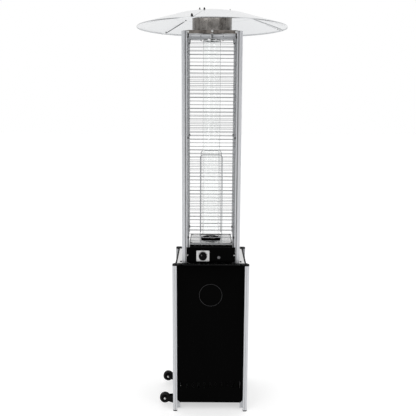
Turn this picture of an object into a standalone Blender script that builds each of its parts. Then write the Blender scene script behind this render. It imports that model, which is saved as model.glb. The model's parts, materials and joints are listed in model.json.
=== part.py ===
"""Square-tower patio heater: a gas bottle cabinet, a caged glass flame tube and a dish reflector.

Metres, +Z up. The origin is on the tower's axis at floor level, and the door faces -Y.
"""

import math

import bmesh
import bpy
from mathutils import Matrix, Vector

# ---------------------------------------------------------------- general
GAP = 0.0003  # between pieces that touch
CUT_MARGIN = 0.005  # how far a cutter runs past the wall that it cuts
ROUND_STEPS = 24
LARGE_ROUND_STEPS = 36

# ---------------------------------------------------------------- cabinet
BASE_HALF = 0.215  # axis to the legs' outer faces
LEG_TOP = 0.8737
LEG_SIZE = 0.024
LEG_WALL = 0.0016
LEG_CORNER_RADIUS = 0.010
LEG_GROOVE_WIDTH = 0.002
LEG_GROOVE_DEPTH = 0.0008
LEG_GROOVE_PLACE = 0.0149  # from the outer corner
LEG_FLANGE = 0.002  # thickness of both flanges
LEG_FLANGE_REACH = 0.018
LEG_FRONT_FLANGE_SETBACK = 0.030
LEG_SIDE_FLANGE_REACH = 0.021
FOOT_HEIGHT = 0.006
FOOT_SPIGOT = 0.014
CAP_THICKNESS = 0.006
CAP_REACH = 0.054
CAP_TIP = 0.004

PANEL_SHEET = 0.0012
PANEL_SETBACK = 0.015  # a panel's face behind the legs' outer faces
PANEL_SIDE_GAP = 0.0015
PANEL_BORDER = 0.009
PANEL_BORDER_DEPTH = 0.003
PANEL_TOP = LEG_TOP - 0.0017
DOOR_BOTTOM = 0.046
DOOR_DEPTH = 0.0105
DOOR_CHAMFER = 0.014
SIDE_PANEL_BOTTOM = 0.012
SLOT_COUNT = 11
SLOT_PITCH = 0.0335
SLOT_WIDTH = 0.011
SLOT_LOW, SLOT_HIGH = 0.139, 0.175
RING_RADIUS = 0.064
RING_BEAD = 0.0026
RING_HEIGHT = LEG_TOP - 0.1727

HINGE_HEIGHTS = {"lower": 0.150, "upper": LEG_TOP - 0.0937}
HINGE_INSET = 0.0065  # pivot from the door's left edge
HINGE_DEPTH = 0.0038  # pivot in front of the door's rear edge
HINGE_PIN_WALL = 0.0006  # metal in front of the pin
HINGE_PLATE = 0.002
HINGE_PIN_RADIUS = 0.0016
HINGE_PIN_LENGTH = 0.010
HINGE_TAB_WIDTH = 0.013
HINGE_TAB_THICKNESS = 0.002
HINGE_TAB_SETBACK = 0.001  # from the door's rear edge, and from its border in front
HINGE_LEAF_HEIGHT = 0.030
HINGE_LEFT_REACH = 0.0019  # shelf left of the pivot
HINGE_RIGHT_REACH = 0.0115
HINGE_ARM_LEFT = 0.0045  # the arm behind the pivot starts here, right of the sweep of the door's side wall
HINGE_ARM_FRONT = 0.0030  # and reaches in front of the sweep
HINGE_SHELF_REAR = 0.0045
CATCH_SIZE = (0.011, 0.0105, 0.046)
CATCH_HEIGHT = 0.440

SHELF_TOP = 0.0612
SHELF_FLANGE = 0.020
DECK_TOP = LEG_TOP + 0.003
DECK_FLANGE = 0.012
DECK_SHEET = 0.0012
HOSE_HOLE_RADIUS = 0.014

# ---------------------------------------------------------------- wheels
WHEEL_RADIUS = 0.031
WHEEL_WIDTH = 0.024
WHEEL_X = -BASE_HALF - 0.051
WHEEL_Y = 0.140
WHEEL_Z = 0.048
WHEEL_TREAD = 0.004
WHEEL_HUB_RADIUS = 0.0130
WHEEL_HUB_SLOPE = 0.0025
WHEEL_RIM_RADIUS = WHEEL_RADIUS - 0.0062
WHEEL_RIM_SLOPE = 0.0019
WHEEL_DISH = 0.0034
AXLE_RADIUS = 0.004
AXLE_HEAD_RADIUS = 0.0068
AXLE_HEAD_LENGTH = 0.0045
AXLE_PLAY = 0.0005
FORK_SHEET = 0.0025
FORK_CLEARANCE = 0.0015
FORK_BASE_LOW, FORK_BASE_HIGH = 0.014, 0.064
FORK_END_RADIUS = 0.013
FORK_BASE_MARGIN = 0.012

# ---------------------------------------------------------------- tower
TOWER_HALF = 0.162  # axis to the posts' outer faces
POST_TOP = 2.1405
POST_SIZE = 0.017
POST_WALL = 0.0016
POST_CORNER_RADIUS = 0.004
POST_REACH = 0.030
POST_BEAD = 0.0065
POST_BEAD_FRONT = 0.0065
POST_WEB_FRONT = 0.0105
POST_WEB_BACK = 0.0125

WIRE = 0.003
WIRE_PITCH = 0.0204
ROD = 0.004
ROD_X = TOWER_HALF - 0.032
GRILLE_SETBACK = 0.0003
LOOP_HALF = 0.0605
LOOP_TOP = 1.488
LOOP_WIRE = 0.004
LOOP_CORNER = 0.015
LOOP_WELD_STEP = 6  # one weld for this many wires

# ---------------------------------------------------------------- control section
CONTROL_HALF = TOWER_HALF - 0.025
CONTROL_TOP = DECK_TOP + 0.0903
CONTROL_SHEET = 0.0012
SHELF_HALF = TOWER_HALF - 0.0415
BOX_HALF = TOWER_HALF - 0.0405
BURNER_PLATE_TOP = DECK_TOP + 0.1048
BURNER_PLATE_FLANGE = 0.0115
BURNER_PLATE_SHEET = 0.0012
BURNER_HOLE_RADIUS = 0.0465
BOX_VENT_COUNT = 6
BOX_VENT_PITCH = 0.030
BOX_VENT_WIDTH = 0.018
BOX_VENT_HEIGHT = 0.004
BOX_VENT_Z = DECK_TOP + 0.0633

KNOB_X = -0.045
KNOB_Z = DECK_TOP + 0.0398
KNOB_RADIUS = 0.0235
KNOB_LENGTH = 0.012
KNOB_GRIP = 0.008
KNOB_GRIP_WIDTH = 0.009
KNOB_EDGE = 0.0012
KNOB_TRAVEL = 0.005
KNOB_CLEARANCE = 0.0011  # left behind the knob when it is pushed in
KNOB_REST_ANGLE = math.radians(35)
BEZEL_SIZE = (0.073, 0.063)
BEZEL_SHEET = 0.0012
BEZEL_CORNER = 0.003
SPINDLE_RADIUS = 0.004
SPINDLE_HOLE_RADIUS = 0.007
COLLAR_RADIUS = 0.0095
COLLAR_THICKNESS = 0.0015
COLLAR_BEHIND_PANEL = 0.0008
VALVE_SIZE = (0.046, 0.038, 0.037)
VALVE_BEVEL = 0.003
VALVE_FRONT_GAP = 0.0045  # from the panel's rear face to the valve body
VALVE_POCKET_DEPTH = 0.008
VALVE_BORE_DEPTH = 0.026
SPINDLE_BEHIND_VALVE_FRONT = 0.018
SPINDLE_IN_KNOB = 0.013
OUTLET_RADIUS = 0.007
OUTLET_LENGTH = 0.010
OUTLET_OVERLAP = 0.002

IGNITER_X = 0.045
IGNITER_Z = DECK_TOP + 0.0323
BUTTON_RADIUS = 0.0080
BUTTON_PROUD = 0.0065
BUTTON_LENGTH = 0.0165
BUTTON_TRAVEL = 0.004
BUTTON_EDGE = 0.0008
IGNITER_TUBE_RADIUS = 0.0097
IGNITER_FLANGE_RADIUS = 0.0112
IGNITER_FLANGE = 0.0018
IGNITER_BORE_DEPTH = 0.020
IGNITER_LENGTH = 0.044

SPIGOT_RADIUS = 0.0075
SPIGOT_BORE = 0.0035
SPIGOT_BARB_RADIUS = 0.0058
SPIGOT_BARB_LENGTH = 0.026
SPIGOT_BARBS = 3

PIPE_RADIUS = 0.004
PIPE_LOW = DECK_TOP + 0.0093
PIPE_STRAIGHT = 0.012
PIPE_DROP_X = -0.038
PIPE_DROP_REACH = 0.030
PIPE_CROSSING = (-0.020, -0.030)
PIPE_TURN = (-0.008, -0.006)
PIPE_TURN_RISE = 0.002
BURNER_RADIUS = 0.0405
BURNER_TOP = BURNER_PLATE_TOP + 0.0065
BURNER_BOWL_LOW = BURNER_PLATE_TOP - 0.0335
BURNER_BOWL_HEIGHT = 0.014
BURNER_CROWN_SHARE = 0.75
BURNER_CROWN_DROP = 0.001
BURNER_SHOULDER_DROP = 0.005
BURNER_SLOT_COUNT = 12
BURNER_SLOT_WIDTH = 0.004
BURNER_SLOT_HEIGHT = 0.010
BURNER_SLOT_DROP = 0.013
VENTURI_RADIUS = 0.013
VENTURI_LOW = BURNER_PLATE_TOP - 0.0695
PILOT_RADIUS = 0.0435
PILOT_ANGLE = math.radians(-80)
PILOT_SHEET = 0.0012
PILOT_WIDTH = 0.024
PILOT_TOP = BURNER_PLATE_TOP + 0.0105
PILOT_LOW = BURNER_PLATE_TOP - 0.0615
PILOT_ROD_RADIUS = 0.0016
PILOT_ROD_SPREAD = 0.0105
PILOT_ROD_INSET = 0.001
PILOT_ROD_LENGTH = 0.040
PILOT_ROD_RISE = 0.006
TILT_SWITCH_SIZE = (0.030, 0.020, 0.036)
TILT_SWITCH_PLACE = (0.070, 0.060)

# ---------------------------------------------------------------- flame tube
TUBE_RADIUS = 0.050
TUBE_WALL = 0.0028
TUBE_TOP = POST_TOP - 0.0265
SEAL_OUTER = TUBE_RADIUS + 0.0065
SEAL_INNER = TUBE_RADIUS - 0.0030
SEAL_FLOOR = 0.003
SEAL_HEIGHT = 0.009
HOLDER_OUTER = TUBE_RADIUS + 0.0110
HOLDER_LOW = POST_TOP - 0.0365
HOLDER_HEIGHT = 0.006
HOLDER_ARM = 0.0015
HOLDER_ARM_WIDTH = 0.014
HOLDER_TAB = 0.014

# ---------------------------------------------------------------- crown and reflector
CROWN_TOP = POST_TOP + 0.0045
CROWN_SKIRT = 0.018
CROWN_SHEET = 0.0012
CROWN_HALF = TOWER_HALF - 0.0065
CROWN_ARM_HALF = TOWER_HALF - 0.0305
CROWN_HOLE_RADIUS = TUBE_RADIUS + 0.006
COLLAR_OUTER = 0.1105
COLLAR_WALL = 0.001
COLLAR_TOP = POST_TOP + 0.0915
COLLAR_FOOT = 0.008
SUPPORT_OUTER = COLLAR_OUTER + 0.002
SUPPORT_INNER = 0.085
SUPPORT_SHEET = 0.002
STUD_CIRCLE = 0.100
STUD_ANGLES = (-132, -12, 108)
STUD_RADIUS = 0.003
STUD_SHOULDER_RADIUS = 0.006
STUD_PROUD = 0.012

DISH_RADIUS = 0.415
DISH_APEX = POST_TOP + 0.1295
DISH_CAP_RADIUS = 0.200  # the crown of the dish is rounded out to here, and conical beyond it
DISH_SLOPE = 0.295
DISH_SHEET = 0.0008
DISH_LIP = 0.005
HUB_RADIUS = 0.2215
HUB_DROP = 0.0026
SEGMENT_INNER = 0.186
SEAM_ANGLES = (-102.5, 17.5, 137.5)
SEAM_LAP = 5.0
SEAM_DROP = 0.0012
SEAM_STEP = 0.5
DISH_ANGLE_STEP = 6

# ---------------------------------------------------------------- worked-out places
DOOR_LEFT = -BASE_HALF + LEG_SIZE + PANEL_SIDE_GAP
DOOR_HALF = -DOOR_LEFT
DOOR_FACE_Y = -BASE_HALF + PANEL_SETBACK
FLANGE_FACE_Y = -BASE_HALF + LEG_FRONT_FLANGE_SETBACK
PIVOT_X = DOOR_LEFT + HINGE_INSET
PIVOT_Y = DOOR_FACE_Y + DOOR_DEPTH - HINGE_DEPTH
INSIDE_X = BASE_HALF - LEG_SIZE - GAP
INSIDE_Y = BASE_HALF - LEG_FRONT_FLANGE_SETBACK - LEG_FLANGE - GAP
POST_LOW = DECK_TOP + GAP
CONTROL_LOW = DECK_TOP + 2 * GAP
PANEL_FRONT_Y = -TOWER_HALF + POST_BEAD_FRONT - GAP - CONTROL_SHEET
PANEL_REAR_Y = PANEL_FRONT_Y + CONTROL_SHEET
KNOB_BACK_Y = PANEL_FRONT_Y - GAP - BEZEL_SHEET - KNOB_CLEARANCE - KNOB_TRAVEL
VALVE_FRONT_Y = PANEL_REAR_Y + VALVE_FRONT_GAP
WIRE_Y = -TOWER_HALF + POST_WEB_BACK + GRILLE_SETBACK + WIRE / 2
GRILLE_LOW = BURNER_PLATE_TOP + 0.004
GRILLE_TOP = CROWN_TOP - CROWN_SKIRT - GAP
WIRE_COUNT = int((GRILLE_TOP - GRILLE_LOW - WIRE) / WIRE_PITCH) + 1
TUBE_LOW = BURNER_PLATE_TOP + GAP + SEAL_FLOOR + GAP
BOX_TOP = BURNER_PLATE_TOP - BURNER_PLATE_FLANGE - GAP

LEG_CORNERS = {
    "front_left": (-1, -1),
    "front_right": (1, -1),
    "rear_left": (-1, 1),
    "rear_right": (1, 1),
}

PARTS = None
CUTTERS = None


# ================================================================ helpers
def clear_scene():
    for obj in list(bpy.data.objects):
        bpy.data.objects.remove(obj, do_unlink=True)


def new_collection(name, hidden=False):
    collection = bpy.data.collections.new(name)
    bpy.context.scene.collection.children.link(collection)
    collection.hide_render = hidden
    return collection


def material(name, colour, roughness, metallic=0.0, transmission=0.0):
    made = bpy.data.materials.new(name)
    made.use_nodes = True
    shader = made.node_tree.nodes["Principled BSDF"]
    shader.inputs["Base Color"].default_value = (*colour, 1.0)
    shader.inputs["Roughness"].default_value = roughness
    shader.inputs["Metallic"].default_value = metallic
    shader.inputs["Transmission Weight"].default_value = transmission
    return made


def add_object(name, mesh, finish=None):
    """Puts a mesh in the scene: a piece where it has a finish, and a cutter or helper where it has none."""
    obj = bpy.data.objects.new(name, mesh)
    if finish is None:
        CUTTERS.objects.link(obj)
        obj.hide_render = True
        obj.display_type = "WIRE"
    else:
        PARTS.objects.link(obj)
        mesh.materials.append(finish)
    return obj


def place(obj, location=(0, 0, 0), rotation=(0, 0, 0)):
    obj.location = location
    obj.rotation_euler = rotation
    return obj


def mesh_of(name, shape, smooth=False):
    mesh = bpy.data.meshes.new(name)
    bmesh.ops.recalc_face_normals(shape, faces=shape.faces)
    shape.to_mesh(mesh)
    shape.free()
    if smooth:
        mesh.shade_smooth()
        mesh.set_sharp_from_angle(angle=math.radians(40))
    return mesh


def boxes(name, sizes_and_centres, finish=None):
    """One mesh with a box for each (size, centre)."""
    shape = bmesh.new()
    for size, centre in sizes_and_centres:
        scale = Matrix.Diagonal((*size, 1.0))
        bmesh.ops.create_cube(shape, size=1.0, matrix=Matrix.Translation(centre) @ scale)
    return add_object(name, mesh_of(name, shape), finish)


def box(name, size, centre, finish=None):
    obj = boxes(name, [(size, (0, 0, 0))], finish)
    return place(obj, centre)


def cylinder(name, radius, length, centre, finish=None, along="Z", steps=ROUND_STEPS):
    shape = bmesh.new()
    bmesh.ops.create_cone(
        shape, cap_ends=True, segments=steps, radius1=radius, radius2=radius, depth=length
    )
    obj = add_object(name, mesh_of(name, shape, smooth=True), finish)
    return place(obj, centre, turn_to(along))


def turn_to(along):
    """The rotation that takes local +Z to world +Z, -Y or +X."""
    return {"Z": (0, 0, 0), "-Y": (math.pi / 2, 0, 0), "X": (0, math.pi / 2, 0)}[along]


def turned(name, profile, centre, finish=None, along="Z", steps=ROUND_STEPS, closed=False):
    """A Screw of (radius, height) points, closed for a ring, or with both ends on the axis for a solid."""
    pairs = zip(profile, profile[1:] + profile[:1])
    if sum(a[0] * b[1] - b[0] * a[1] for a, b in pairs) > 0:
        profile = profile[::-1]
    count = len(profile)
    edges = [(i, (i + 1) % count) for i in range(count if closed else count - 1)]
    mesh = bpy.data.meshes.new(name)
    mesh.from_pydata([(r, 0, z) for r, z in profile], edges, [])
    obj = add_object(name, mesh, finish)
    screw = obj.modifiers.new("turn", "SCREW")
    screw.axis = "Z"
    screw.steps = screw.render_steps = steps
    screw.use_merge_vertices = True
    screw.merge_threshold = 0.00001
    screw.use_smooth_shade = False
    return place(obj, centre, turn_to(along))


def extruded(name, loops, thickness, finish=None, smooth=False):
    """A flat outline in local X and Y, with further loops as holes, centred on its thickness along Z."""
    curve = bpy.data.curves.new(name, "CURVE")
    curve.dimensions = "2D"
    curve.fill_mode = "BOTH"
    curve.extrude = thickness / 2
    for loop in loops:
        spline = curve.splines.new("POLY")
        spline.points.add(len(loop) - 1)
        for point, (x, y) in zip(spline.points, loop):
            point.co = (x, y, 0, 1)
        spline.use_cyclic_u = True
    return as_mesh(name, curve, finish, smooth)


def as_mesh(name, curve, finish=None, smooth=True):
    """A curve made a mesh with welded caps, so that it takes Booleans."""
    source = bpy.data.objects.new(name + "_curve", curve)
    CUTTERS.objects.link(source)
    graph = bpy.context.evaluated_depsgraph_get()
    mesh = bpy.data.meshes.new_from_object(source.evaluated_get(graph))
    bpy.data.objects.remove(source)
    bpy.data.curves.remove(curve)
    shape = bmesh.new()
    shape.from_mesh(mesh)
    bpy.data.meshes.remove(mesh)
    bmesh.ops.remove_doubles(shape, verts=shape.verts, dist=0.000005)
    return add_object(name, mesh_of(name, shape, smooth), finish)


def wire(name, points, radius, finish=None, sides=2):
    curve = bpy.data.curves.new(name, "CURVE")
    curve.dimensions = "3D"
    curve.bevel_depth = radius
    curve.bevel_resolution = sides
    curve.use_fill_caps = True
    spline = curve.splines.new("POLY")
    spline.points.add(len(points) - 1)
    for point, place_of in zip(spline.points, points):
        point.co = (*place_of, 1)
    return as_mesh(name, curve, finish)


def sheet_shell(name, loops, thickness, finish):
    """A pressed sheet: loops joined in turn, the last one filled, and the metal added inside."""
    shape = bmesh.new()
    rings = [[shape.verts.new(point) for point in loop] for loop in loops]
    for lower, upper in zip(rings, rings[1:]):
        for i in range(len(lower)):
            j = (i + 1) % len(lower)
            shape.faces.new((lower[i], lower[j], upper[j], upper[i]))
    shape.faces.new(rings[-1])
    obj = add_object(name, mesh_of(name, shape), finish)
    thicken(obj, thickness)
    return obj


def thicken(obj, thickness):
    solid = obj.modifiers.new("sheet", "SOLIDIFY")
    solid.thickness = thickness
    solid.offset = -1
    solid.use_even_offset = True


def cut(obj, *cutters):
    for cutter in cutters:
        modifier = obj.modifiers.new("cut", "BOOLEAN")
        modifier.operation = "DIFFERENCE"
        modifier.object = cutter


def hole_cutter(name, radius, height):
    """For a round hole on the tower's axis, through a sheet at this height."""
    return cylinder(name, radius, 4 * CUT_MARGIN, (0, 0, height), steps=LARGE_ROUND_STEPS)


def join(obj, *others):
    for other in others:
        modifier = obj.modifiers.new("join", "BOOLEAN")
        modifier.operation = "UNION"
        modifier.object = other


def arc(centre, radius, start, end, steps):
    """Points on an arc, with the angles in degrees."""
    angles = [math.radians(start + (end - start) * i / steps) for i in range(steps + 1)]
    return [(centre[0] + radius * math.cos(a), centre[1] + radius * math.sin(a)) for a in angles]


def rounded_rectangle(width, height, radius, steps=4):
    x, y = width / 2 - radius, height / 2 - radius
    points = []
    for cx, cy, start in ((x, y, 0), (-x, y, 90), (-x, -y, 180), (x, -y, 270)):
        points += arc((cx, cy), radius, start, start + 90, steps)
    return points


def smooth_route(points, steps=5):
    """A Catmull-Rom curve through the points."""
    ends = [2 * points[0] - points[1]] + list(points) + [2 * points[-1] - points[-2]]
    route = []
    for a, b, c, d in zip(ends, ends[1:], ends[2:], ends[3:]):
        for i in range(steps):
            t = i / steps
            square, cube = 2 * a - 5 * b + 4 * c - d, 3 * b - a - 3 * c + d
            route.append((2 * b + (c - a) * t + square * t**2 + cube * t**3) / 2)
    return route + [points[-1]]


def at_corner(points, half, signs):
    """Points measured inwards from an outer corner, put at the corner of a square of this half width."""
    return [(signs[0] * (half - u), signs[1] * (half - v)) for u, v in points]


# ================================================================ cabinet
def leg_outline():
    """Grooved lobe with a rounded corner, and flanges behind the door and behind the side panel."""
    size, mid, groove = LEG_SIZE, LEG_GROOVE_PLACE, LEG_GROOVE_WIDTH / 2
    front, depth = LEG_FRONT_FLANGE_SETBACK, LEG_GROOVE_DEPTH
    side_end = size + LEG_SIDE_FLANGE_REACH
    corner = arc((LEG_CORNER_RADIUS, LEG_CORNER_RADIUS), LEG_CORNER_RADIUS, 180, 270, 5)
    return corner + [
        (mid - groove, 0),
        (mid - groove, depth),
        (mid + groove, depth),
        (mid + groove, 0),
        (size, 0),
        (size, front),
        (size + LEG_FLANGE_REACH, front),
        (size + LEG_FLANGE_REACH, front + LEG_FLANGE),
        (size, front + LEG_FLANGE),
        (size, side_end),
        (size - LEG_FLANGE, side_end),
        (size - LEG_FLANGE, size),
        (0, size),
        (0, mid + groove),
        (depth, mid + groove),
        (depth, mid - groove),
        (0, mid - groove),
    ]


def hollow_outline(size, wall, radius):
    """The square hollow of a lobe, rounded at the outer corner."""
    inner = max(radius - wall, wall)
    centre = (wall + inner, wall + inner)
    far = size - wall
    return arc(centre, inner, 180, 270, 3) + [(far, wall), (far, far), (wall, far)]


def leg(name, signs, finish):
    outline = at_corner(leg_outline(), BASE_HALF, signs)
    hollow = at_corner(hollow_outline(LEG_SIZE, LEG_WALL, LEG_CORNER_RADIUS), BASE_HALF, signs)
    low = FOOT_HEIGHT + GAP
    obj = extruded(f"leg_{name}", [outline, hollow], LEG_TOP - low, finish)
    return place(obj, (0, 0, (LEG_TOP + low) / 2))


def leg_plug(name, signs, low, high):
    """The spigot of a foot or a cap, which fits the leg's hollow."""
    inner = LEG_WALL + GAP
    outline = at_corner(hollow_outline(LEG_SIZE, inner, LEG_CORNER_RADIUS), BASE_HALF, signs)
    return place(extruded(name, [outline], high - low), (0, 0, (low + high) / 2))


def foot(name, signs, finish):
    radius, size = LEG_CORNER_RADIUS, LEG_SIZE
    outline = arc((radius, radius), radius, 180, 270, 5) + [(size, 0), (size, size), (0, size)]
    obj = extruded(f"foot_{name}", [at_corner(outline, BASE_HALF, signs)], FOOT_HEIGHT, finish)
    place(obj, (0, 0, FOOT_HEIGHT / 2))
    join(obj, leg_plug(f"foot_spigot_{name}", signs, FOOT_HEIGHT / 2, FOOT_HEIGHT + FOOT_SPIGOT))
    return obj


def leg_cap(name, signs, finish):
    """Black corner cap: a wedge along the side and one over the door's corner."""
    radius, reach, size = LEG_CORNER_RADIUS, CAP_REACH, LEG_SIZE
    inner = BASE_HALF - INSIDE_Y - GAP
    outline = arc((radius, radius), radius, 180, 270, 5) + [
        (size + CAP_TIP, 0),
        (reach, inner - 2 * CAP_TIP),
        (reach, inner),
        (size, inner),
        (size, reach),
        (size - CAP_TIP, reach),
        (0, size + CAP_TIP),
    ]
    obj = extruded(f"leg_cap_{name}", [at_corner(outline, BASE_HALF, signs)], CAP_THICKNESS, finish)
    low = LEG_TOP + GAP
    place(obj, (0, 0, low + CAP_THICKNESS / 2))
    join(obj, leg_plug(f"cap_spigot_{name}", signs, LEG_TOP - FOOT_SPIGOT, low + CAP_THICKNESS / 2))
    return obj


def pan_outline(half_width, low, high, chamfer, inset=0.0):
    """Clockwise from above the lower left corner, seen from the front, as (x, z)."""
    left, right, bottom, top = -half_width + inset, half_width - inset, low + inset, high - inset
    corner = max(chamfer - (2 - math.sqrt(2)) * inset, 0.0)
    if not corner:
        return [(left, bottom), (left, top), (right, top), (right, bottom)]
    return [
        (left, bottom + corner),
        (left, top),
        (right, top),
        (right, bottom + corner),
        (right - corner, bottom),
        (left + corner, bottom),
    ]


def pan(name, half_width, low, high, depth, finish, chamfer=0.0):
    """A pressed panel facing -Y, with a sloping border and a rim that turns back."""
    rim = pan_outline(half_width, low, high, chamfer)
    face = pan_outline(half_width, low, high, chamfer, PANEL_BORDER)
    loops = [
        [(x, DOOR_FACE_Y + depth, z) for x, z in rim],
        [(x, DOOR_FACE_Y + PANEL_BORDER_DEPTH, z) for x, z in rim],
        [(x, DOOR_FACE_Y, z) for x, z in face],
    ]
    return sheet_shell(name, loops, PANEL_SHEET, finish)


def slots(name):
    """Cutters for the row of vents near a panel's foot."""
    size = (SLOT_WIDTH, 4 * CUT_MARGIN, SLOT_HIGH - SLOT_LOW)
    first = -(SLOT_COUNT - 1) / 2
    places = [((first + i) * SLOT_PITCH, DOOR_FACE_Y, (SLOT_LOW + SLOT_HIGH) / 2) for i in range(SLOT_COUNT)]
    return boxes(name, [(size, centre) for centre in places])


def door_ring():
    """The half-sunk bead of the plain ring on the door."""
    half, proud = RING_BEAD, RING_BEAD * 0.7
    inside = PANEL_SHEET / 2
    bead = [
        (RING_RADIUS - half, -inside),
        (RING_RADIUS - half / 2, proud),
        (RING_RADIUS + half / 2, proud),
        (RING_RADIUS + half, -inside),
    ]
    return turned("door_ring_bead", bead, (0, DOOR_FACE_Y, RING_HEIGHT), along="-Y", steps=32, closed=True)


def door(finish):
    obj = pan("door_panel", DOOR_HALF, DOOR_BOTTOM, PANEL_TOP, DOOR_DEPTH, finish, DOOR_CHAMFER)
    place_on_pivot(obj)
    cut(obj, slots("door_slots"))
    join(obj, door_ring())
    for level, height in HINGE_HEIGHTS.items():
        add_hinge_tab(obj, level, height)
    return obj


def add_hinge_tab(obj, level, height):
    """The ear behind the door's border that turns on a hinge pin."""
    low = height + HINGE_PLATE / 2 + GAP
    left = DOOR_LEFT + PANEL_SHEET / 2
    front = DOOR_FACE_Y + PANEL_BORDER_DEPTH + HINGE_TAB_SETBACK
    rear = DOOR_FACE_Y + DOOR_DEPTH - HINGE_TAB_SETBACK
    size = (HINGE_TAB_WIDTH, rear - front, HINGE_TAB_THICKNESS)
    centre = (left + HINGE_TAB_WIDTH / 2, (front + rear) / 2, low + HINGE_TAB_THICKNESS / 2)
    join(obj, box(f"door_tab_{level}", size, centre))
    hole_centre = (PIVOT_X, PIVOT_Y, centre[2])
    cut(obj, cylinder(f"door_tab_hole_{level}", HINGE_PIN_RADIUS + GAP, 2 * CUT_MARGIN, hole_centre))


def place_on_pivot(obj):
    """Moves the object's origin to the door's pivot line and leaves its shape where it is."""
    pivot = Vector((PIVOT_X, PIVOT_Y, 0))
    obj.data.transform(Matrix.Translation(-pivot))
    obj.location = pivot


def door_hinge(level, height, finish):
    """A leaf on the leg's flange, and a cranked shelf whose pin carries the door's tab.

    The door's side wall swings between the pin and the leaf, so the shelf's arm passes beside it.
    """
    rear = FLANGE_FACE_Y - GAP
    left, right = PIVOT_X - HINGE_LEFT_REACH, PIVOT_X + HINGE_RIGHT_REACH
    front = PIVOT_Y - HINGE_PIN_RADIUS - HINGE_PIN_WALL
    shelf_rear = PIVOT_Y + HINGE_SHELF_REAR
    arm_left, arm_front = PIVOT_X + HINGE_ARM_LEFT, PIVOT_Y + HINGE_ARM_FRONT
    arm_width, arm_middle = right - arm_left, (right + arm_left) / 2
    leaf_low = height + HINGE_PLATE / 2 - HINGE_LEAF_HEIGHT
    leaf_centre = (arm_middle, rear - HINGE_PLATE / 2, leaf_low + HINGE_LEAF_HEIGHT / 2)
    obj = box(f"door_hinge_{level}", (arm_width, HINGE_PLATE, HINGE_LEAF_HEIGHT), leaf_centre, finish)
    arm_size = (arm_width, rear - arm_front, HINGE_PLATE)
    arm = box(f"hinge_arm_{level}", arm_size, (arm_middle, (rear + arm_front) / 2, height))
    shelf_size = (right - left, shelf_rear - front, HINGE_PLATE)
    shelf = box(f"hinge_shelf_{level}", shelf_size, ((right + left) / 2, (shelf_rear + front) / 2, height))
    pin_low = height - HINGE_PLATE / 4
    pin_centre = (PIVOT_X, PIVOT_Y, pin_low + HINGE_PIN_LENGTH / 2)
    pin = cylinder(f"hinge_pin_{level}", HINGE_PIN_RADIUS, HINGE_PIN_LENGTH, pin_centre)
    join(obj, arm, shelf, pin)
    return obj


def door_catch(finish):
    width, depth, height = CATCH_SIZE
    x = DOOR_HALF - PANEL_SHEET - 2 * PANEL_SIDE_GAP - width / 2
    return box("door_catch", CATCH_SIZE, (x, FLANGE_FACE_Y - GAP - depth / 2, CATCH_HEIGHT), finish)


def tray(name, half_x, half_y, top, flange, sheet, finish):
    """A plate whose four edges turn down."""
    outline = [(-half_x, -half_y), (half_x, -half_y), (half_x, half_y), (-half_x, half_y)]
    loops = [[(x, y, z) for x, y in outline] for z in (top - flange, top)]
    return sheet_shell(name, loops, sheet, finish)


def side_panel(name, side, finish):
    """A pan that is turned to face outwards, between a front leg and a rear leg, on their side flanges."""
    half_length = BASE_HALF - LEG_SIZE - PANEL_SIDE_GAP
    depth = LEG_SIZE - LEG_FLANGE - GAP - PANEL_SETBACK
    obj = pan(name, half_length, SIDE_PANEL_BOTTOM, PANEL_TOP, depth, finish)
    return place(obj, rotation=(0, 0, side * math.pi / 2))


def rear_panel(finish):
    depth = LEG_FRONT_FLANGE_SETBACK - GAP - PANEL_SETBACK
    obj = pan("rear_panel", DOOR_HALF, DOOR_BOTTOM, PANEL_TOP, depth, finish)
    vents = place(slots("rear_slots"), rotation=(0, 0, math.pi))
    cut(place(obj, rotation=(0, 0, math.pi)), vents)
    return obj


def deck(finish):
    obj = tray("deck_plate", INSIDE_X, INSIDE_Y, DECK_TOP, DECK_FLANGE, DECK_SHEET, finish)
    cut(obj, cylinder("hose_hole", HOSE_HOLE_RADIUS, 4 * CUT_MARGIN, (KNOB_X, spigot_y(), DECK_TOP)))
    return obj


# ================================================================ wheels
def fork_gap():
    """Distance from a wheel's middle to the inner face of a fork cheek."""
    return WHEEL_WIDTH / 2 + FORK_CLEARANCE


def wheel_fork(name, y, finish):
    """A base plate on the side panel, and two cheeks that taper to the axle."""
    base_x = -BASE_HALF + PANEL_SETBACK - GAP
    cheek_y = fork_gap() + FORK_SHEET / 2
    height = FORK_BASE_HIGH - FORK_BASE_LOW
    width = 2 * (cheek_y + FORK_SHEET / 2 + FORK_BASE_MARGIN)
    middle = (FORK_BASE_LOW + FORK_BASE_HIGH) / 2
    obj = box(name, (FORK_SHEET, width, height), (base_x - FORK_SHEET / 2, y, middle), finish)
    reach = base_x - WHEEL_X
    end = arc((0, WHEEL_Z), FORK_END_RADIUS, 80, 280, 10)
    outline = end + [(reach, FORK_BASE_LOW), (reach, FORK_BASE_HIGH)]
    for side in (-1, 1):
        cheek = extruded(f"{name}_cheek_{side}", [outline], FORK_SHEET)
        place(cheek, (WHEEL_X - GAP / 2, y + side * cheek_y, 0), (math.pi / 2, 0, 0))
        join(obj, cheek)
    hole = cylinder(f"{name}_hole", AXLE_RADIUS + GAP, 6 * fork_gap(), (WHEEL_X, y, WHEEL_Z), along="-Y")
    cut(obj, hole)
    return obj


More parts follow.
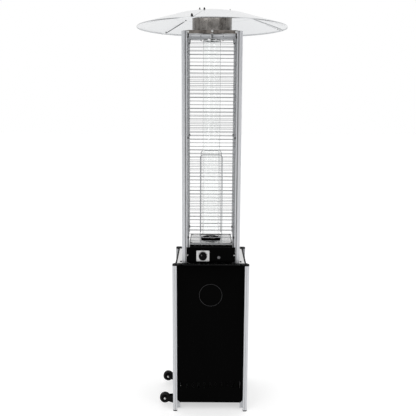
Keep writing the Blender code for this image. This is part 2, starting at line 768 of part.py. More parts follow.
def wheel(name, y, finish):
    half, bore = WHEEL_WIDTH / 2, AXLE_RADIUS + AXLE_PLAY
    profile = [
        (bore, half),
        (WHEEL_HUB_RADIUS, half),
        (WHEEL_HUB_RADIUS + WHEEL_HUB_SLOPE, half - WHEEL_DISH),
        (WHEEL_RIM_RADIUS - WHEEL_RIM_SLOPE, half - WHEEL_DISH),
        (WHEEL_RIM_RADIUS, half),
        (WHEEL_RADIUS - WHEEL_TREAD, half),
        (WHEEL_RADIUS, half - WHEEL_TREAD),
    ]
    mirrored = [(r, -z) for r, z in reversed(profile)]
    return turned(name, profile + mirrored, (WHEEL_X, y, WHEEL_Z), finish, along="-Y", closed=True)


def axle_bolt(name, y, finish):
    """Head on the front side, a shank through the fork, and its nut."""
    seat = fork_gap() + FORK_SHEET + GAP
    profile = [
        (0, seat + AXLE_HEAD_LENGTH),
        (AXLE_HEAD_RADIUS * 0.7, seat + AXLE_HEAD_LENGTH),
        (AXLE_HEAD_RADIUS, seat + AXLE_HEAD_LENGTH * 0.6),
        (AXLE_HEAD_RADIUS, seat),
        (AXLE_RADIUS, seat),
        (AXLE_RADIUS, -seat),
        (AXLE_HEAD_RADIUS, -seat),
        (AXLE_HEAD_RADIUS, -seat - AXLE_HEAD_LENGTH),
        (0, -seat - AXLE_HEAD_LENGTH),
    ]
    return turned(name, profile, (WHEEL_X, y, WHEEL_Z), finish, along="-Y", steps=24)


# ================================================================ control section
def control_panel(finish):
    """Front sheet before the posts, with a narrower shelf turned back from its top edge."""
    height = CONTROL_TOP - CONTROL_LOW
    obj = box(
        "control_panel",
        (2 * CONTROL_HALF, CONTROL_SHEET, height),
        (0, PANEL_FRONT_Y + CONTROL_SHEET / 2, CONTROL_LOW + height / 2),
        finish,
    )
    depth = -BOX_HALF - PANEL_FRONT_Y
    shelf_centre = (0, PANEL_FRONT_Y + depth / 2 + CONTROL_SHEET / 4, CONTROL_TOP - CONTROL_SHEET / 2)
    join(obj, box("control_shelf", (2 * SHELF_HALF, depth - CONTROL_SHEET / 2, CONTROL_SHEET), shelf_centre))
    middle = PANEL_FRONT_Y + CONTROL_SHEET / 2
    holes = {
        "spindle_hole": (SPINDLE_HOLE_RADIUS, KNOB_X, KNOB_Z),
        "igniter_hole": (IGNITER_TUBE_RADIUS + GAP, IGNITER_X, IGNITER_Z),
    }
    for name, (radius, x, z) in holes.items():
        cut(obj, cylinder(name, radius, 2 * CUT_MARGIN, (x, middle, z), along="-Y"))
    return obj


def control_box(finish):
    """Left, rear and right walls below the burner plate, in one bent sheet."""
    sheet, half = CONTROL_SHEET, BOX_HALF
    front = PANEL_REAR_Y + GAP
    inner = half - sheet
    outline = [
        (-half, front),
        (-inner, front),
        (-inner, inner),
        (inner, inner),
        (inner, front),
        (half, front),
        (half, half),
        (-half, half),
    ]
    top = CONTROL_TOP - CONTROL_SHEET - GAP
    obj = extruded("control_box", [outline], top - CONTROL_LOW, finish)
    place(obj, (0, 0, (top + CONTROL_LOW) / 2))
    rim_height = BOX_TOP - top + sheet
    rim = [
        (-half, -half),
        (half, -half),
        (half, half),
        (-half, half),
    ]
    hole = [(x * inner / half, y * inner / half) for x, y in rim]
    collar = place(extruded("box_rim", [rim, hole], rim_height), (0, 0, BOX_TOP - rim_height / 2))
    join(obj, collar)
    notch = (2 * (SHELF_HALF + 2 * GAP), CUT_MARGIN * 2, CONTROL_SHEET + 2 * GAP)
    cut(obj, box("shelf_notch", notch, (0, -BOX_HALF - CUT_MARGIN, CONTROL_TOP - CONTROL_SHEET / 2)))
    first = -(BOX_VENT_COUNT - 1) / 2
    size = (BOX_VENT_WIDTH, 2 * CUT_MARGIN, BOX_VENT_HEIGHT)
    vents = [(size, ((first + i) * BOX_VENT_PITCH, half, BOX_VENT_Z)) for i in range(BOX_VENT_COUNT)]
    cut(obj, boxes("box_vents", vents))
    return obj


def bezel(finish):
    outline = rounded_rectangle(*BEZEL_SIZE, BEZEL_CORNER)
    hole = arc((0, 0), SPINDLE_HOLE_RADIUS, 0, 345, 23)
    obj = extruded("knob_bezel", [outline, hole], BEZEL_SHEET, finish)
    return place(obj, (KNOB_X, PANEL_FRONT_Y - GAP - BEZEL_SHEET / 2, KNOB_Z), (math.pi / 2, 0, 0))


def knob(finish):
    """Skirted disc with a grip bar, bored from behind for the spindle. Local +Z points to the front."""
    edge, depth = KNOB_EDGE, SPINDLE_IN_KNOB + GAP
    bore = SPINDLE_RADIUS + GAP
    profile = [
        (0, KNOB_LENGTH),
        (KNOB_RADIUS - 2 * edge, KNOB_LENGTH),
        (KNOB_RADIUS - edge, KNOB_LENGTH - edge),
        (KNOB_RADIUS, 0),
        (0, 0),
    ]
    obj = turned("control_knob", profile, (KNOB_X, KNOB_BACK_Y, KNOB_Z), finish, along="-Y", steps=32)
    bar_length = 2 * (KNOB_RADIUS - 2.5 * edge)
    low, high = KNOB_LENGTH / 2, KNOB_LENGTH + KNOB_GRIP
    bar = boxes("knob_bar", [((KNOB_GRIP_WIDTH, bar_length, high - low), (0, 0, (high + low) / 2))])
    place(bar, (KNOB_X, KNOB_BACK_Y, KNOB_Z), (math.pi / 2, KNOB_REST_ANGLE, 0))
    soften = bar.modifiers.new("edge", "BEVEL")
    soften.width = edge
    soften.segments = 2
    join(obj, bar)
    centre = (KNOB_X, KNOB_BACK_Y - (depth - CUT_MARGIN) / 2, KNOB_Z)
    cut(obj, cylinder("knob_bore", bore, depth + CUT_MARGIN, centre, along="-Y"))
    return obj


def spindle(finish):
    front = KNOB_BACK_Y - SPINDLE_IN_KNOB
    rear = VALVE_FRONT_Y + SPINDLE_BEHIND_VALVE_FRONT
    centre = (KNOB_X, (front + rear) / 2, KNOB_Z)
    return cylinder("valve_spindle", SPINDLE_RADIUS, rear - front, centre, finish, along="-Y", steps=24)


def spindle_collar(finish):
    """Thrust washer that travels with the spindle and does not turn with it."""
    inner, half = SPINDLE_RADIUS + GAP, COLLAR_THICKNESS / 2
    profile = [(inner, half), (COLLAR_RADIUS, half), (COLLAR_RADIUS, -half), (inner, -half)]
    centre = (KNOB_X, PANEL_REAR_Y + COLLAR_BEHIND_PANEL + half, KNOB_Z)
    return turned("spindle_collar", profile, centre, finish, along="-Y", steps=24, closed=True)


def valve(finish):
    """Block with a pocket for the collar, a bore for the spindle and an outlet boss behind."""
    width, depth, height = VALVE_SIZE
    centre = (KNOB_X, VALVE_FRONT_Y + depth / 2, KNOB_Z)
    obj = box("gas_valve", VALVE_SIZE, centre, finish)
    soften = obj.modifiers.new("edge", "BEVEL")
    soften.width = VALVE_BEVEL
    soften.segments = 1
    outlet_front = VALVE_FRONT_Y + depth - OUTLET_OVERLAP
    outlet_length = OUTLET_LENGTH + OUTLET_OVERLAP
    outlet_centre = (KNOB_X, outlet_front + outlet_length / 2, KNOB_Z)
    outlet = cylinder("valve_outlet", OUTLET_RADIUS, outlet_length, outlet_centre, along="-Y", steps=24)
    join(obj, outlet)
    pocket = cylinder(
        "valve_pocket",
        COLLAR_RADIUS + 3 * GAP,
        VALVE_POCKET_DEPTH + CUT_MARGIN,
        (KNOB_X, VALVE_FRONT_Y + (VALVE_POCKET_DEPTH - CUT_MARGIN) / 2, KNOB_Z),
        along="-Y",
    )
    bore = cylinder(
        "valve_bore",
        SPINDLE_RADIUS + GAP,
        VALVE_BORE_DEPTH + CUT_MARGIN,
        (KNOB_X, VALVE_FRONT_Y + (VALVE_BORE_DEPTH - CUT_MARGIN) / 2, KNOB_Z),
        along="-Y",
        steps=24,
    )
    cut(obj, pocket, bore)
    return obj


def spigot_y():
    return VALVE_FRONT_Y + VALVE_SIZE[1] / 2


def inlet_spigot(finish):
    """Hose tail under the valve, which reaches through the deck into the cabinet."""
    top = KNOB_Z - VALVE_SIZE[2] / 2 - GAP
    collar_low = DECK_TOP - DECK_SHEET - GAP
    profile = [(SPIGOT_BORE, top), (SPIGOT_RADIUS, top), (SPIGOT_RADIUS, collar_low)]
    step = SPIGOT_BARB_LENGTH / SPIGOT_BARBS
    for i in range(SPIGOT_BARBS):
        z = collar_low - i * step
        profile += [(SPIGOT_BARB_RADIUS, z), (SPIGOT_BARB_RADIUS * 0.8, z - step + GAP)]
    profile += [(SPIGOT_BORE, collar_low - SPIGOT_BARB_LENGTH + GAP)]
    return turned("inlet_spigot", profile, (KNOB_X, spigot_y(), 0), finish, steps=16, closed=True)


def igniter_body(finish):
    """Sleeve through the panel with a front flange, closed behind. Local +Z points to the front."""
    bore, tube = BUTTON_RADIUS + GAP, IGNITER_TUBE_RADIUS
    front = GAP + IGNITER_FLANGE
    profile = [
        (0, front - IGNITER_BORE_DEPTH),
        (bore, front - IGNITER_BORE_DEPTH),
        (bore, front),
        (IGNITER_FLANGE_RADIUS, front),
        (IGNITER_FLANGE_RADIUS, GAP),
        (tube, GAP),
        (tube, -IGNITER_LENGTH),
        (0, -IGNITER_LENGTH),
    ]
    centre = (IGNITER_X, PANEL_FRONT_Y, IGNITER_Z)
    return turned("igniter_body", profile, centre, finish, along="-Y", steps=24)


def igniter_button(finish):
    proud, edge = BUTTON_PROUD, BUTTON_EDGE
    profile = [
        (0, proud),
        (BUTTON_RADIUS - edge, proud),
        (BUTTON_RADIUS, proud - edge),
        (BUTTON_RADIUS, proud - BUTTON_LENGTH),
        (0, proud - BUTTON_LENGTH),
    ]
    centre = (IGNITER_X, PANEL_FRONT_Y, IGNITER_Z)
    return turned("igniter_button", profile, centre, finish, along="-Y", steps=24)


def gas_pipe(finish):
    """From the valve's outlet, down and across to the foot of the venturi."""
    start_y = VALVE_FRONT_Y + VALVE_SIZE[1] + OUTLET_LENGTH + 3 * GAP
    points = [
        Vector((KNOB_X, start_y, KNOB_Z)),
        Vector((KNOB_X, start_y + PIPE_STRAIGHT, KNOB_Z)),
        Vector((PIPE_DROP_X, start_y + PIPE_DROP_REACH, (KNOB_Z + PIPE_LOW) / 2)),
        Vector((*PIPE_CROSSING, PIPE_LOW)),
        Vector((*PIPE_TURN, PIPE_LOW + PIPE_TURN_RISE)),
        Vector((0, 0, PIPE_LOW + PIPE_STRAIGHT)),
        Vector((0, 0, VENTURI_LOW - GAP)),
    ]
    return wire("gas_pipe", smooth_route(points, 3), PIPE_RADIUS, finish, sides=1)


def burner(finish):
    """Venturi, bowl and a slotted drum that stands inside the tube's foot."""
    rim, bowl = BURNER_RADIUS, BURNER_BOWL_LOW
    profile = [
        (0, BURNER_TOP),
        (rim * BURNER_CROWN_SHARE, BURNER_TOP - BURNER_CROWN_DROP),
        (rim, BURNER_TOP - BURNER_SHOULDER_DROP),
        (rim, bowl + BURNER_BOWL_HEIGHT),
        (VENTURI_RADIUS, bowl),
        (VENTURI_RADIUS, VENTURI_LOW),
        (0, VENTURI_LOW),
    ]
    obj = turned("burner", profile, (0, 0, 0), finish, steps=LARGE_ROUND_STEPS)
    size = (BURNER_SLOT_WIDTH, 4 * CUT_MARGIN, BURNER_SLOT_HEIGHT)
    middle = BURNER_TOP - BURNER_SLOT_DROP
    shape = bmesh.new()
    for i in range(BURNER_SLOT_COUNT):
        angle = 2 * math.pi * (i + 0.5) / BURNER_SLOT_COUNT
        turn = Matrix.Rotation(angle, 4, "Z") @ Matrix.Translation((0, -rim, middle))
        bmesh.ops.create_cube(shape, size=1.0, matrix=turn @ Matrix.Diagonal((*size, 1.0)))
    cut(obj, add_object("burner_slots", mesh_of("burner_slots", shape)))
    return obj


def pilot(finish):
    """Bracket beside the burner with the electrode and the thermocouple on it."""
    radial = Vector((math.cos(PILOT_ANGLE), math.sin(PILOT_ANGLE), 0))
    height = PILOT_TOP - PILOT_LOW
    obj = box(
        "pilot_assembly",
        (PILOT_SHEET, PILOT_WIDTH, height),
        radial * (PILOT_RADIUS + PILOT_SHEET / 2) + Vector((0, 0, (PILOT_TOP + PILOT_LOW) / 2)),
        finish,
    )
    obj.rotation_euler = (0, 0, PILOT_ANGLE)
    across = Vector((-radial.y, radial.x, 0))
    for name, side in (("electrode", -1), ("thermocouple", 1)):
        centre = radial * (PILOT_RADIUS - PILOT_ROD_INSET) + across * side * PILOT_ROD_SPREAD
        middle = centre + Vector((0, 0, PILOT_TOP + PILOT_ROD_RISE - PILOT_ROD_LENGTH / 2))
        rod = cylinder(name, PILOT_ROD_RADIUS, PILOT_ROD_LENGTH, middle, steps=12)
        join(obj, rod)
    return obj


def burner_plate(finish):
    obj = tray(
        "burner_plate", BOX_HALF, BOX_HALF, BURNER_PLATE_TOP, BURNER_PLATE_FLANGE, BURNER_PLATE_SHEET, finish
    )
    cut(obj, hole_cutter("burner_hole", BURNER_HOLE_RADIUS, BURNER_PLATE_TOP))
    return obj


def tilt_switch(finish):
    width, depth, height = TILT_SWITCH_SIZE
    x, y = TILT_SWITCH_PLACE
    return box("tilt_switch", TILT_SWITCH_SIZE, (x, y, DECK_TOP + GAP + height / 2), finish)


# ================================================================ tower
def post_outline():
    """Lobe and two beaded flanges, so that each visible face shows a strip, a channel and a bead."""
    size, reach, bead = POST_SIZE, POST_REACH, POST_REACH - POST_BEAD
    radius = POST_CORNER_RADIUS
    half = [
        (size, 0),
        (size, POST_WEB_FRONT),
        (bead, POST_WEB_FRONT),
        (bead, POST_BEAD_FRONT),
        (reach, POST_BEAD_FRONT),
        (reach, POST_WEB_BACK),
        (size, POST_WEB_BACK),
    ]
    mirrored = [(v, u) for u, v in reversed(half)]
    return arc((radius, radius), radius, 180, 270, 4) + half + [(size, size)] + mirrored


def post(name, signs, finish):
    outline = at_corner(post_outline(), TOWER_HALF, signs)
    hollow = at_corner(hollow_outline(POST_SIZE, POST_WALL, POST_CORNER_RADIUS), TOWER_HALF, signs)
    obj = extruded(f"post_{name}", [outline, hollow], POST_TOP - POST_LOW, finish)
    return place(obj, (0, 0, (POST_TOP + POST_LOW) / 2))


def wire_heights():
    first = GRILLE_TOP - WIRE - (WIRE_COUNT - 1) * WIRE_PITCH
    return [first + i * WIRE_PITCH for i in range(WIRE_COUNT)]


def grille(name, turn, finish, looped):
    """Horizontal wires welded between two upright rods, facing -Y before it is turned."""
    rod_y = WIRE_Y - WIRE / 2 + ROD / 2 - GAP
    height = GRILLE_TOP - GRILLE_LOW
    rods = [((ROD, ROD, height), (side * ROD_X, rod_y, GRILLE_LOW + height / 2)) for side in (-1, 1)]
    obj = boxes(name, rods, finish)
    size = (2 * ROD_X, WIRE, WIRE)
    wires = boxes(name + "_wires", [(size, (0, WIRE_Y, z)) for z in wire_heights()])
    join(obj, place(wires, rotation=(0, 0, turn)))
    if looped:
        join(obj, *(place(piece, rotation=(0, 0, turn)) for piece in wire_loop(name)))
    return place(obj, rotation=(0, 0, turn))


def wire_loop(name):
    """The rounded frame of the lighting hatch, an upside-down U in front of the wires, and its welds."""
    y = WIRE_Y - WIRE / 2 - LOOP_WIRE / 2 - GAP
    x, top, radius = LOOP_HALF, LOOP_TOP - LOOP_WIRE / 2, LOOP_CORNER
    right = arc((x - radius, top - radius), radius, 0, 90, 4)
    left = arc((radius - x, top - radius), radius, 90, 180, 4)
    outline = [(x, GRILLE_LOW)] + right + left + [(-x, GRILLE_LOW)]
    loop = wire(f"{name}_loop", [(px, y, pz) for px, pz in outline], LOOP_WIRE / 2, sides=1)
    weld = (WIRE / 2, LOOP_WIRE, WIRE / 2)
    heights = [z for z in wire_heights() if z < top - radius][::LOOP_WELD_STEP]
    places = [(side * x, (y + WIRE_Y) / 2, z) for z in heights for side in (-1, 1)]
    return loop, boxes(f"{name}_welds", [(weld, centre) for centre in places])


# ================================================================ flame tube
def tube_seal(finish):
    low = BURNER_PLATE_TOP + GAP
    step = TUBE_RADIUS + GAP
    profile = [
        (SEAL_INNER, low + SEAL_FLOOR),
        (step, low + SEAL_FLOOR),
        (step, low + SEAL_HEIGHT),
        (SEAL_OUTER, low + SEAL_HEIGHT),
        (SEAL_OUTER, low),
        (SEAL_INNER, low),
    ]
    return turned("tube_seal", profile, (0, 0, 0), finish, steps=LARGE_ROUND_STEPS, closed=True)


def glass_tube(finish):
    inner = TUBE_RADIUS - TUBE_WALL
    profile = [(inner, TUBE_TOP), (TUBE_RADIUS, TUBE_TOP), (TUBE_RADIUS, TUBE_LOW), (inner, TUBE_LOW)]
    return turned("glass_tube", profile, (0, 0, 0), finish, steps=LARGE_ROUND_STEPS, closed=True)


def tube_holder(finish):
    """Ring round the tube's top on four arms, whose tabs bolt up to the crown plate."""
    inner, outer = TUBE_RADIUS + GAP, HOLDER_OUTER
    high = HOLDER_LOW + HOLDER_HEIGHT
    profile = [(inner, high), (outer, high), (outer, HOLDER_LOW), (inner, HOLDER_LOW)]
    obj = turned("tube_holder", profile, (0, 0, 0), finish, steps=LARGE_ROUND_STEPS, closed=True)
    top = CROWN_TOP - CROWN_SHEET - GAP
    low = HOLDER_LOW + HOLDER_HEIGHT / 2
    arm_r = outer - HOLDER_ARM / 2 - GAP
    for i in range(4):
        turn = math.radians(90 * i)
        arm = ((HOLDER_ARM, HOLDER_ARM_WIDTH, top - low), (arm_r, 0, (top + low) / 2))
        tab_centre = (arm_r - HOLDER_ARM / 2 + HOLDER_TAB / 2, 0, top - HOLDER_ARM / 2)
        tab = ((HOLDER_TAB, HOLDER_ARM_WIDTH, HOLDER_ARM), tab_centre)
        upright = place(boxes(f"holder_arm_{i}", [arm]), rotation=(0, 0, turn))
        join(obj, upright, place(boxes(f"holder_tab_{i}", [tab]), rotation=(0, 0, turn)))
    return obj


# ================================================================ crown and reflector
def crown_plate(finish):
    """Cross-shaped plate between the posts, with its four outer edges turned down as rails."""
    half, arm = CROWN_HALF, CROWN_ARM_HALF
    notch = TOWER_HALF - POST_WEB_BACK - WIRE - 4 * GAP
    outline = [
        (arm, -half),
        (arm, -notch),
        (notch, -arm),
        (half, -arm),
        (half, arm),
        (notch, arm),
        (arm, notch),
        (arm, half),
        (-arm, half),
        (-arm, notch),
        (-notch, arm),
        (-half, arm),
        (-half, -arm),
        (-notch, -arm),
        (-arm, -notch),
        (-arm, -half),
    ]
    loops = [[(x, y, z) for x, y in outline] for z in (CROWN_TOP - CROWN_SKIRT, CROWN_TOP)]
    obj = sheet_shell("crown_plate", loops, CROWN_SHEET, finish)
    cut(obj, hole_cutter("flue_hole", CROWN_HOLE_RADIUS, CROWN_TOP))
    return obj


def flue_collar(finish):
    low, outer = CROWN_TOP + GAP, COLLAR_OUTER
    inner = outer - COLLAR_WALL
    foot_inner = inner - COLLAR_FOOT
    profile = [
        (inner, COLLAR_TOP),
        (outer, COLLAR_TOP),
        (outer, low),
        (foot_inner, low),
        (foot_inner, low + COLLAR_WALL),
        (inner, low + COLLAR_WALL),
    ]
    return turned("flue_collar", profile, (0, 0, 0), finish, steps=LARGE_ROUND_STEPS, closed=True)


def dish_height(radius):
    """Top of the reflector's sheet: a rounded crown, then a straight cone that is tangent to it."""
    bend = DISH_SLOPE / DISH_CAP_RADIUS
    if radius < DISH_CAP_RADIUS:
        return DISH_APEX - bend * radius**2 / 2
    return DISH_APEX - bend * DISH_CAP_RADIUS**2 / 2 - DISH_SLOPE * (radius - DISH_CAP_RADIUS)


def reflector_support(finish):
    """Ring on the collar's rim with three shouldered studs that carry the reflector's hub."""
    low = COLLAR_TOP + GAP
    high = low + SUPPORT_SHEET
    profile = [(SUPPORT_INNER, high), (SUPPORT_OUTER, high), (SUPPORT_OUTER, low), (SUPPORT_INNER, low)]
    obj = turned("reflector_support", profile, (0, 0, 0), finish, steps=LARGE_ROUND_STEPS, closed=True)
    hub_top = dish_height(STUD_CIRCLE) - HUB_DROP
    shoulder = dish_height(STUD_CIRCLE + STUD_SHOULDER_RADIUS) - HUB_DROP - DISH_SHEET - 2 * GAP
    for i, degrees in enumerate(STUD_ANGLES):
        x, y = (STUD_CIRCLE * f(math.radians(degrees)) for f in (math.cos, math.sin))
        stud = [
            (0, hub_top + STUD_PROUD),
            (STUD_RADIUS, hub_top + STUD_PROUD),
            (STUD_RADIUS, shoulder),
            (STUD_SHOULDER_RADIUS, shoulder),
            (STUD_SHOULDER_RADIUS, low + SUPPORT_SHEET / 2),
            (0, low + SUPPORT_SHEET / 2),
        ]
        join(obj, turned(f"stud_{i}", stud, (x, y, 0), steps=16))
    return obj


def reflector_hub(finish):
    """Dished disc under the segments' inner edges."""
    rings = 6
    radii = [HUB_RADIUS * i / rings for i in range(rings + 1)]
    top = [(r, dish_height(r) - HUB_DROP) for r in radii]
    bottom = [(r, z - DISH_SHEET) for r, z in reversed(top)]
    obj = turned("reflector_hub", top + bottom, (0, 0, 0), finish, steps=LARGE_ROUND_STEPS)
    for i, degrees in enumerate(STUD_ANGLES):
        x, y = (STUD_CIRCLE * f(math.radians(degrees)) for f in (math.cos, math.sin))
        centre = (x, y, dish_height(STUD_CIRCLE))
        cut(obj, cylinder(f"hub_hole_{i}", STUD_RADIUS + GAP, 4 * CUT_MARGIN, centre, steps=16))
    return obj


def segment_columns(start):
    """(angle, drop) across a segment in degrees: its first edge is joggled down under its neighbour."""
    end = start + 360 / len(SEAM_ANGLES)
    columns = [(start - SEAM_LAP, SEAM_DROP), (start + SEAM_STEP, SEAM_DROP), (start + 2 * SEAM_STEP, 0.0)]
    angle = start + DISH_ANGLE_STEP
    while angle < end - DISH_ANGLE_STEP / 2:
        columns.append((angle, 0.0))
        angle += DISH_ANGLE_STEP
    return columns + [(end, 0.0)]


def reflector_segment(number, start, finish):
    """A third of the dish, with a lip turned down round its rim."""
    rings = 5
    span = DISH_RADIUS - SEGMENT_INNER
    radii = [SEGMENT_INNER + span * i / rings for i in range(rings + 1)]
    profile = [(r, dish_height(r)) for r in radii] + [(DISH_RADIUS, dish_height(DISH_RADIUS) - DISH_LIP)]
    shape = bmesh.new()
    grid = []
    for degrees, drop in segment_columns(start):
        c, s = math.cos(math.radians(degrees)), math.sin(math.radians(degrees))
        inset = drop
        column = [shape.verts.new((c * (r - inset), s * (r - inset), z - drop)) for r, z in profile]
        grid.append(column)
    for left, right in zip(grid, grid[1:]):
        for i in range(len(left) - 1):
            shape.faces.new((left[i], left[i + 1], right[i + 1], right[i]))
    name = f"reflector_segment_{number}"
    obj = add_object(name, mesh_of(name, shape), finish)
    thicken(obj, DISH_SHEET)
    return obj


# ================================================================ assembly
def finishes():
    return {
        "black": material("black_gloss_paint", (0.010, 0.010, 0.011), 0.18),
        "black_matt": material("black_steel", (0.015, 0.015, 0.016), 0.45, 0.3),
        "plastic": material("black_plastic", (0.014, 0.014, 0.014), 0.50),
        "rubber": material("wheel_rubber", (0.016, 0.016, 0.016), 0.62),
        "aluminium": material("anodised_aluminium", (0.66, 0.67, 0.68), 0.34, 1.0),
        "stainless": material("stainless_sheet", (0.62, 0.62, 0.61), 0.22, 1.0),
        "brushed": material("brushed_bezel", (0.58, 0.58, 0.57), 0.35, 1.0),
        "heated": material("heat_tinted_steel", (0.30, 0.26, 0.23), 0.35, 1.0),
        "dish": material("reflector_aluminium", (0.82, 0.83, 0.84), 0.16, 1.0),
        "wire": material("cage_wire", (0.60, 0.61, 0.62), 0.28, 1.0),
        "glass": material("borosilicate_glass", (0.97, 0.98, 0.98), 0.02, 0.0, 1.0),
        "brass": material("brass_fitting", (0.70, 0.52, 0.22), 0.32, 1.0),
        "cast": material("cast_valve_body", (0.46, 0.46, 0.46), 0.50, 1.0),
        "bolt": material("zinc_bolt", (0.68, 0.68, 0.67), 0.28, 1.0),
        "silicone": material("seal_silicone", (0.020, 0.018, 0.017), 0.60),
        "burner": material("dark_burner_steel", (0.06, 0.055, 0.05), 0.45, 0.8),
    }


def build():
    look = finishes()
    for name, signs in LEG_CORNERS.items():
        leg(name, signs, look["aluminium"])
        foot(name, signs, look["plastic"])
        leg_cap(name, signs, look["plastic"])
        post(name, signs, look["aluminium"])
    door(look["black"])
    side_panel("side_panel_left", -1, look["black"])
    side_panel("side_panel_right", 1, look["black"])
    rear_panel(look["black"])
    for level, height in HINGE_HEIGHTS.items():
        door_hinge(level, height, look["bolt"])
    door_catch(look["plastic"])
    tray("bottle_shelf", INSIDE_X, INSIDE_Y, SHELF_TOP, SHELF_FLANGE, DECK_SHEET, look["black_matt"])
    deck(look["stainless"])

    for name, y in (("front", -WHEEL_Y), ("rear", WHEEL_Y)):
        wheel_fork(f"wheel_fork_{name}", y, look["black_matt"])
        wheel(f"wheel_{name}", y, look["rubber"])
        axle_bolt(f"axle_bolt_{name}", y, look["bolt"])

    control_panel(look["black"])
    control_box(look["black_matt"])
    bezel(look["brushed"])
    knob(look["plastic"])
    spindle(look["bolt"])
    spindle_collar(look["bolt"])
    valve(look["cast"])
    inlet_spigot(look["brass"])
    igniter_body(look["plastic"])
    igniter_button(look["bolt"])
    gas_pipe(look["aluminium"])
    burner(look["burner"])
    pilot(look["heated"])
    burner_plate(look["stainless"])
    tilt_switch(look["plastic"])

    grille("grille_front", 0, look["wire"], looped=True)
    grille("grille_right", math.pi / 2, look["wire"], looped=False)
    grille("grille_rear", math.pi, look["wire"], looped=True)
    grille("grille_left", -math.pi / 2, look["wire"], looped=False)
    tube_seal(look["silicone"])
    glass_tube(look["glass"])
    tube_holder(look["heated"])

    crown_plate(look["heated"])
    flue_collar(look["heated"])
    reflector_support(look["bolt"])
    reflector_hub(look["dish"])
    for number, start in enumerate(SEAM_ANGLES, 1):
        reflector_segment(number, start, look["dish"])


clear_scene()
PARTS = new_collection("patio_heater")
CUTTERS = new_collection("cutters", hidden=True)
build()
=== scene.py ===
"""Looks for the square-tower patio heater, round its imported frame. Metres, +Z up, the door faces -Y."""

import json
import math

import bmesh
import bpy
from mathutils import Euler, Matrix, Vector

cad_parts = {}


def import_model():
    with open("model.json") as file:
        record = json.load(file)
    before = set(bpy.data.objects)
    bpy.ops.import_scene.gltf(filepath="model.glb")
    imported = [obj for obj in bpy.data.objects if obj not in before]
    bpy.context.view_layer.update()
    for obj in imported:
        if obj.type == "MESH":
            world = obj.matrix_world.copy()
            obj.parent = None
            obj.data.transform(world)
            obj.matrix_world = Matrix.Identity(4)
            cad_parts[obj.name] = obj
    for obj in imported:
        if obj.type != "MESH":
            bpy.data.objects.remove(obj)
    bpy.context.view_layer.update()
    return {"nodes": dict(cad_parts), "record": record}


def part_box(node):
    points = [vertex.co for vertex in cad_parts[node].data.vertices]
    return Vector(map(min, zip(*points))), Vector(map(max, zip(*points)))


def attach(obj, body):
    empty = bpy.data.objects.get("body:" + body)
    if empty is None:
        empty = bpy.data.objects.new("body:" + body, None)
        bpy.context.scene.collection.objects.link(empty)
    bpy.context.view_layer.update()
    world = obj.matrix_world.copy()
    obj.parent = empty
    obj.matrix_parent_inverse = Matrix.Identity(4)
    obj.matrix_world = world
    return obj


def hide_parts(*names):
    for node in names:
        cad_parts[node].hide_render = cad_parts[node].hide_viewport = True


# ---------------------------------------------------------------- sizes
FINE = 96  # steps round a large turned piece
MEDIUM = 48
SMALL = 24
EDGE = 0.0006  # softening of a sheet's or a moulding's edges
WIRE_RADIUS = 0.0015
ROD_RADIUS = 0.0019
LOOP_RADIUS = 0.0021
LOOP_HALF = 0.0605
LOOP_CORNER = 0.015
LOOP_TOP = 1.488
WIRE_COUNT = 56
WIRE_PITCH = 0.0204
WIRE_DEPTH = 0.1478  # axis to the wires' centres
ROD_DEPTH = 0.1452
LOOP_DEPTH = 0.1514
ROD_X = 0.1290
POST_WEB = 0.1515  # axis to the posts' recessed webs
WIRE_HALF = 0.1334
CLIP_HEIGHTS = (1.022, 1.578, 2.108)

DISH_CAP_RADIUS = 0.200
DISH_SLOPE = 0.295
DISH_SHEET = 0.0008
HUB_DROP = 0.0026
SEAM_CENTRES = (-105.0, 15.0, 135.0)
SEAM_LAP = 3.0
SEAM_DROP = 0.0012
SEGMENT_INNER = 0.186
LIP_RADIUS = 0.0022
LIP_DROP = 0.0025
HEM = 0.0032
HEM_FLANK = 0.005
HEM_START = 0.226
HEM_END = 0.404
STUD_CIRCLE = 0.100
STUD_ANGLES = (-132.0, -12.0, 108.0)

KNOB_REST_ANGLE = math.radians(35)
GROOVE_PLACE = 0.0149  # from a leg's outer corner
GROOVE_FLOOR = 0.00045  # depth of the painted-shade strip on the groove's floor, behind a leg's face
RING_RADIUS = 0.064
RING_HEIGHT = 0.701
RING_HALF_WIDTH = 0.0012
RING_CREST = 0.0024
DOOR_DEPTH = 0.0105
LEG_FLANGE_DEPTH = 0.030  # a front leg's outer face to the flange that the door meets
CORNERS = ("front_left", "front_right", "rear_left", "rear_right")
QUADRANTS = ((-1, -1), (-1, 1), (1, -1), (1, 1))
BUFFER_HEIGHTS = (0.20, 0.45, 0.70)
PANEL_SCREW_HEIGHTS = (0.10, 0.44, 0.80)
PANEL_SCREW_SINK = 0.0022  # head's seat behind a panel's border
DECK_STRIP_LENGTH = 0.316  # between the caps
DECK_FRONT_STRIP_REAR = -0.1652
GLASS_WALL = 0.0028
SEAL_INNER = 0.0470
SEAL_GROOVE = 0.0503
SIDE_SCREW_HEIGHT = 0.9205
BRACKET_WALL = 0.0015
SHEET_GAP = 0.0003
CROWN_BOLT_REACH = 0.1270
SEAM_NUT_RADII = (0.388, 0.160)
SEAM_HEAD_RADIUS = 0.213
SUPPORT_INNER = 0.085
SUPPORT_SHEET = 0.002

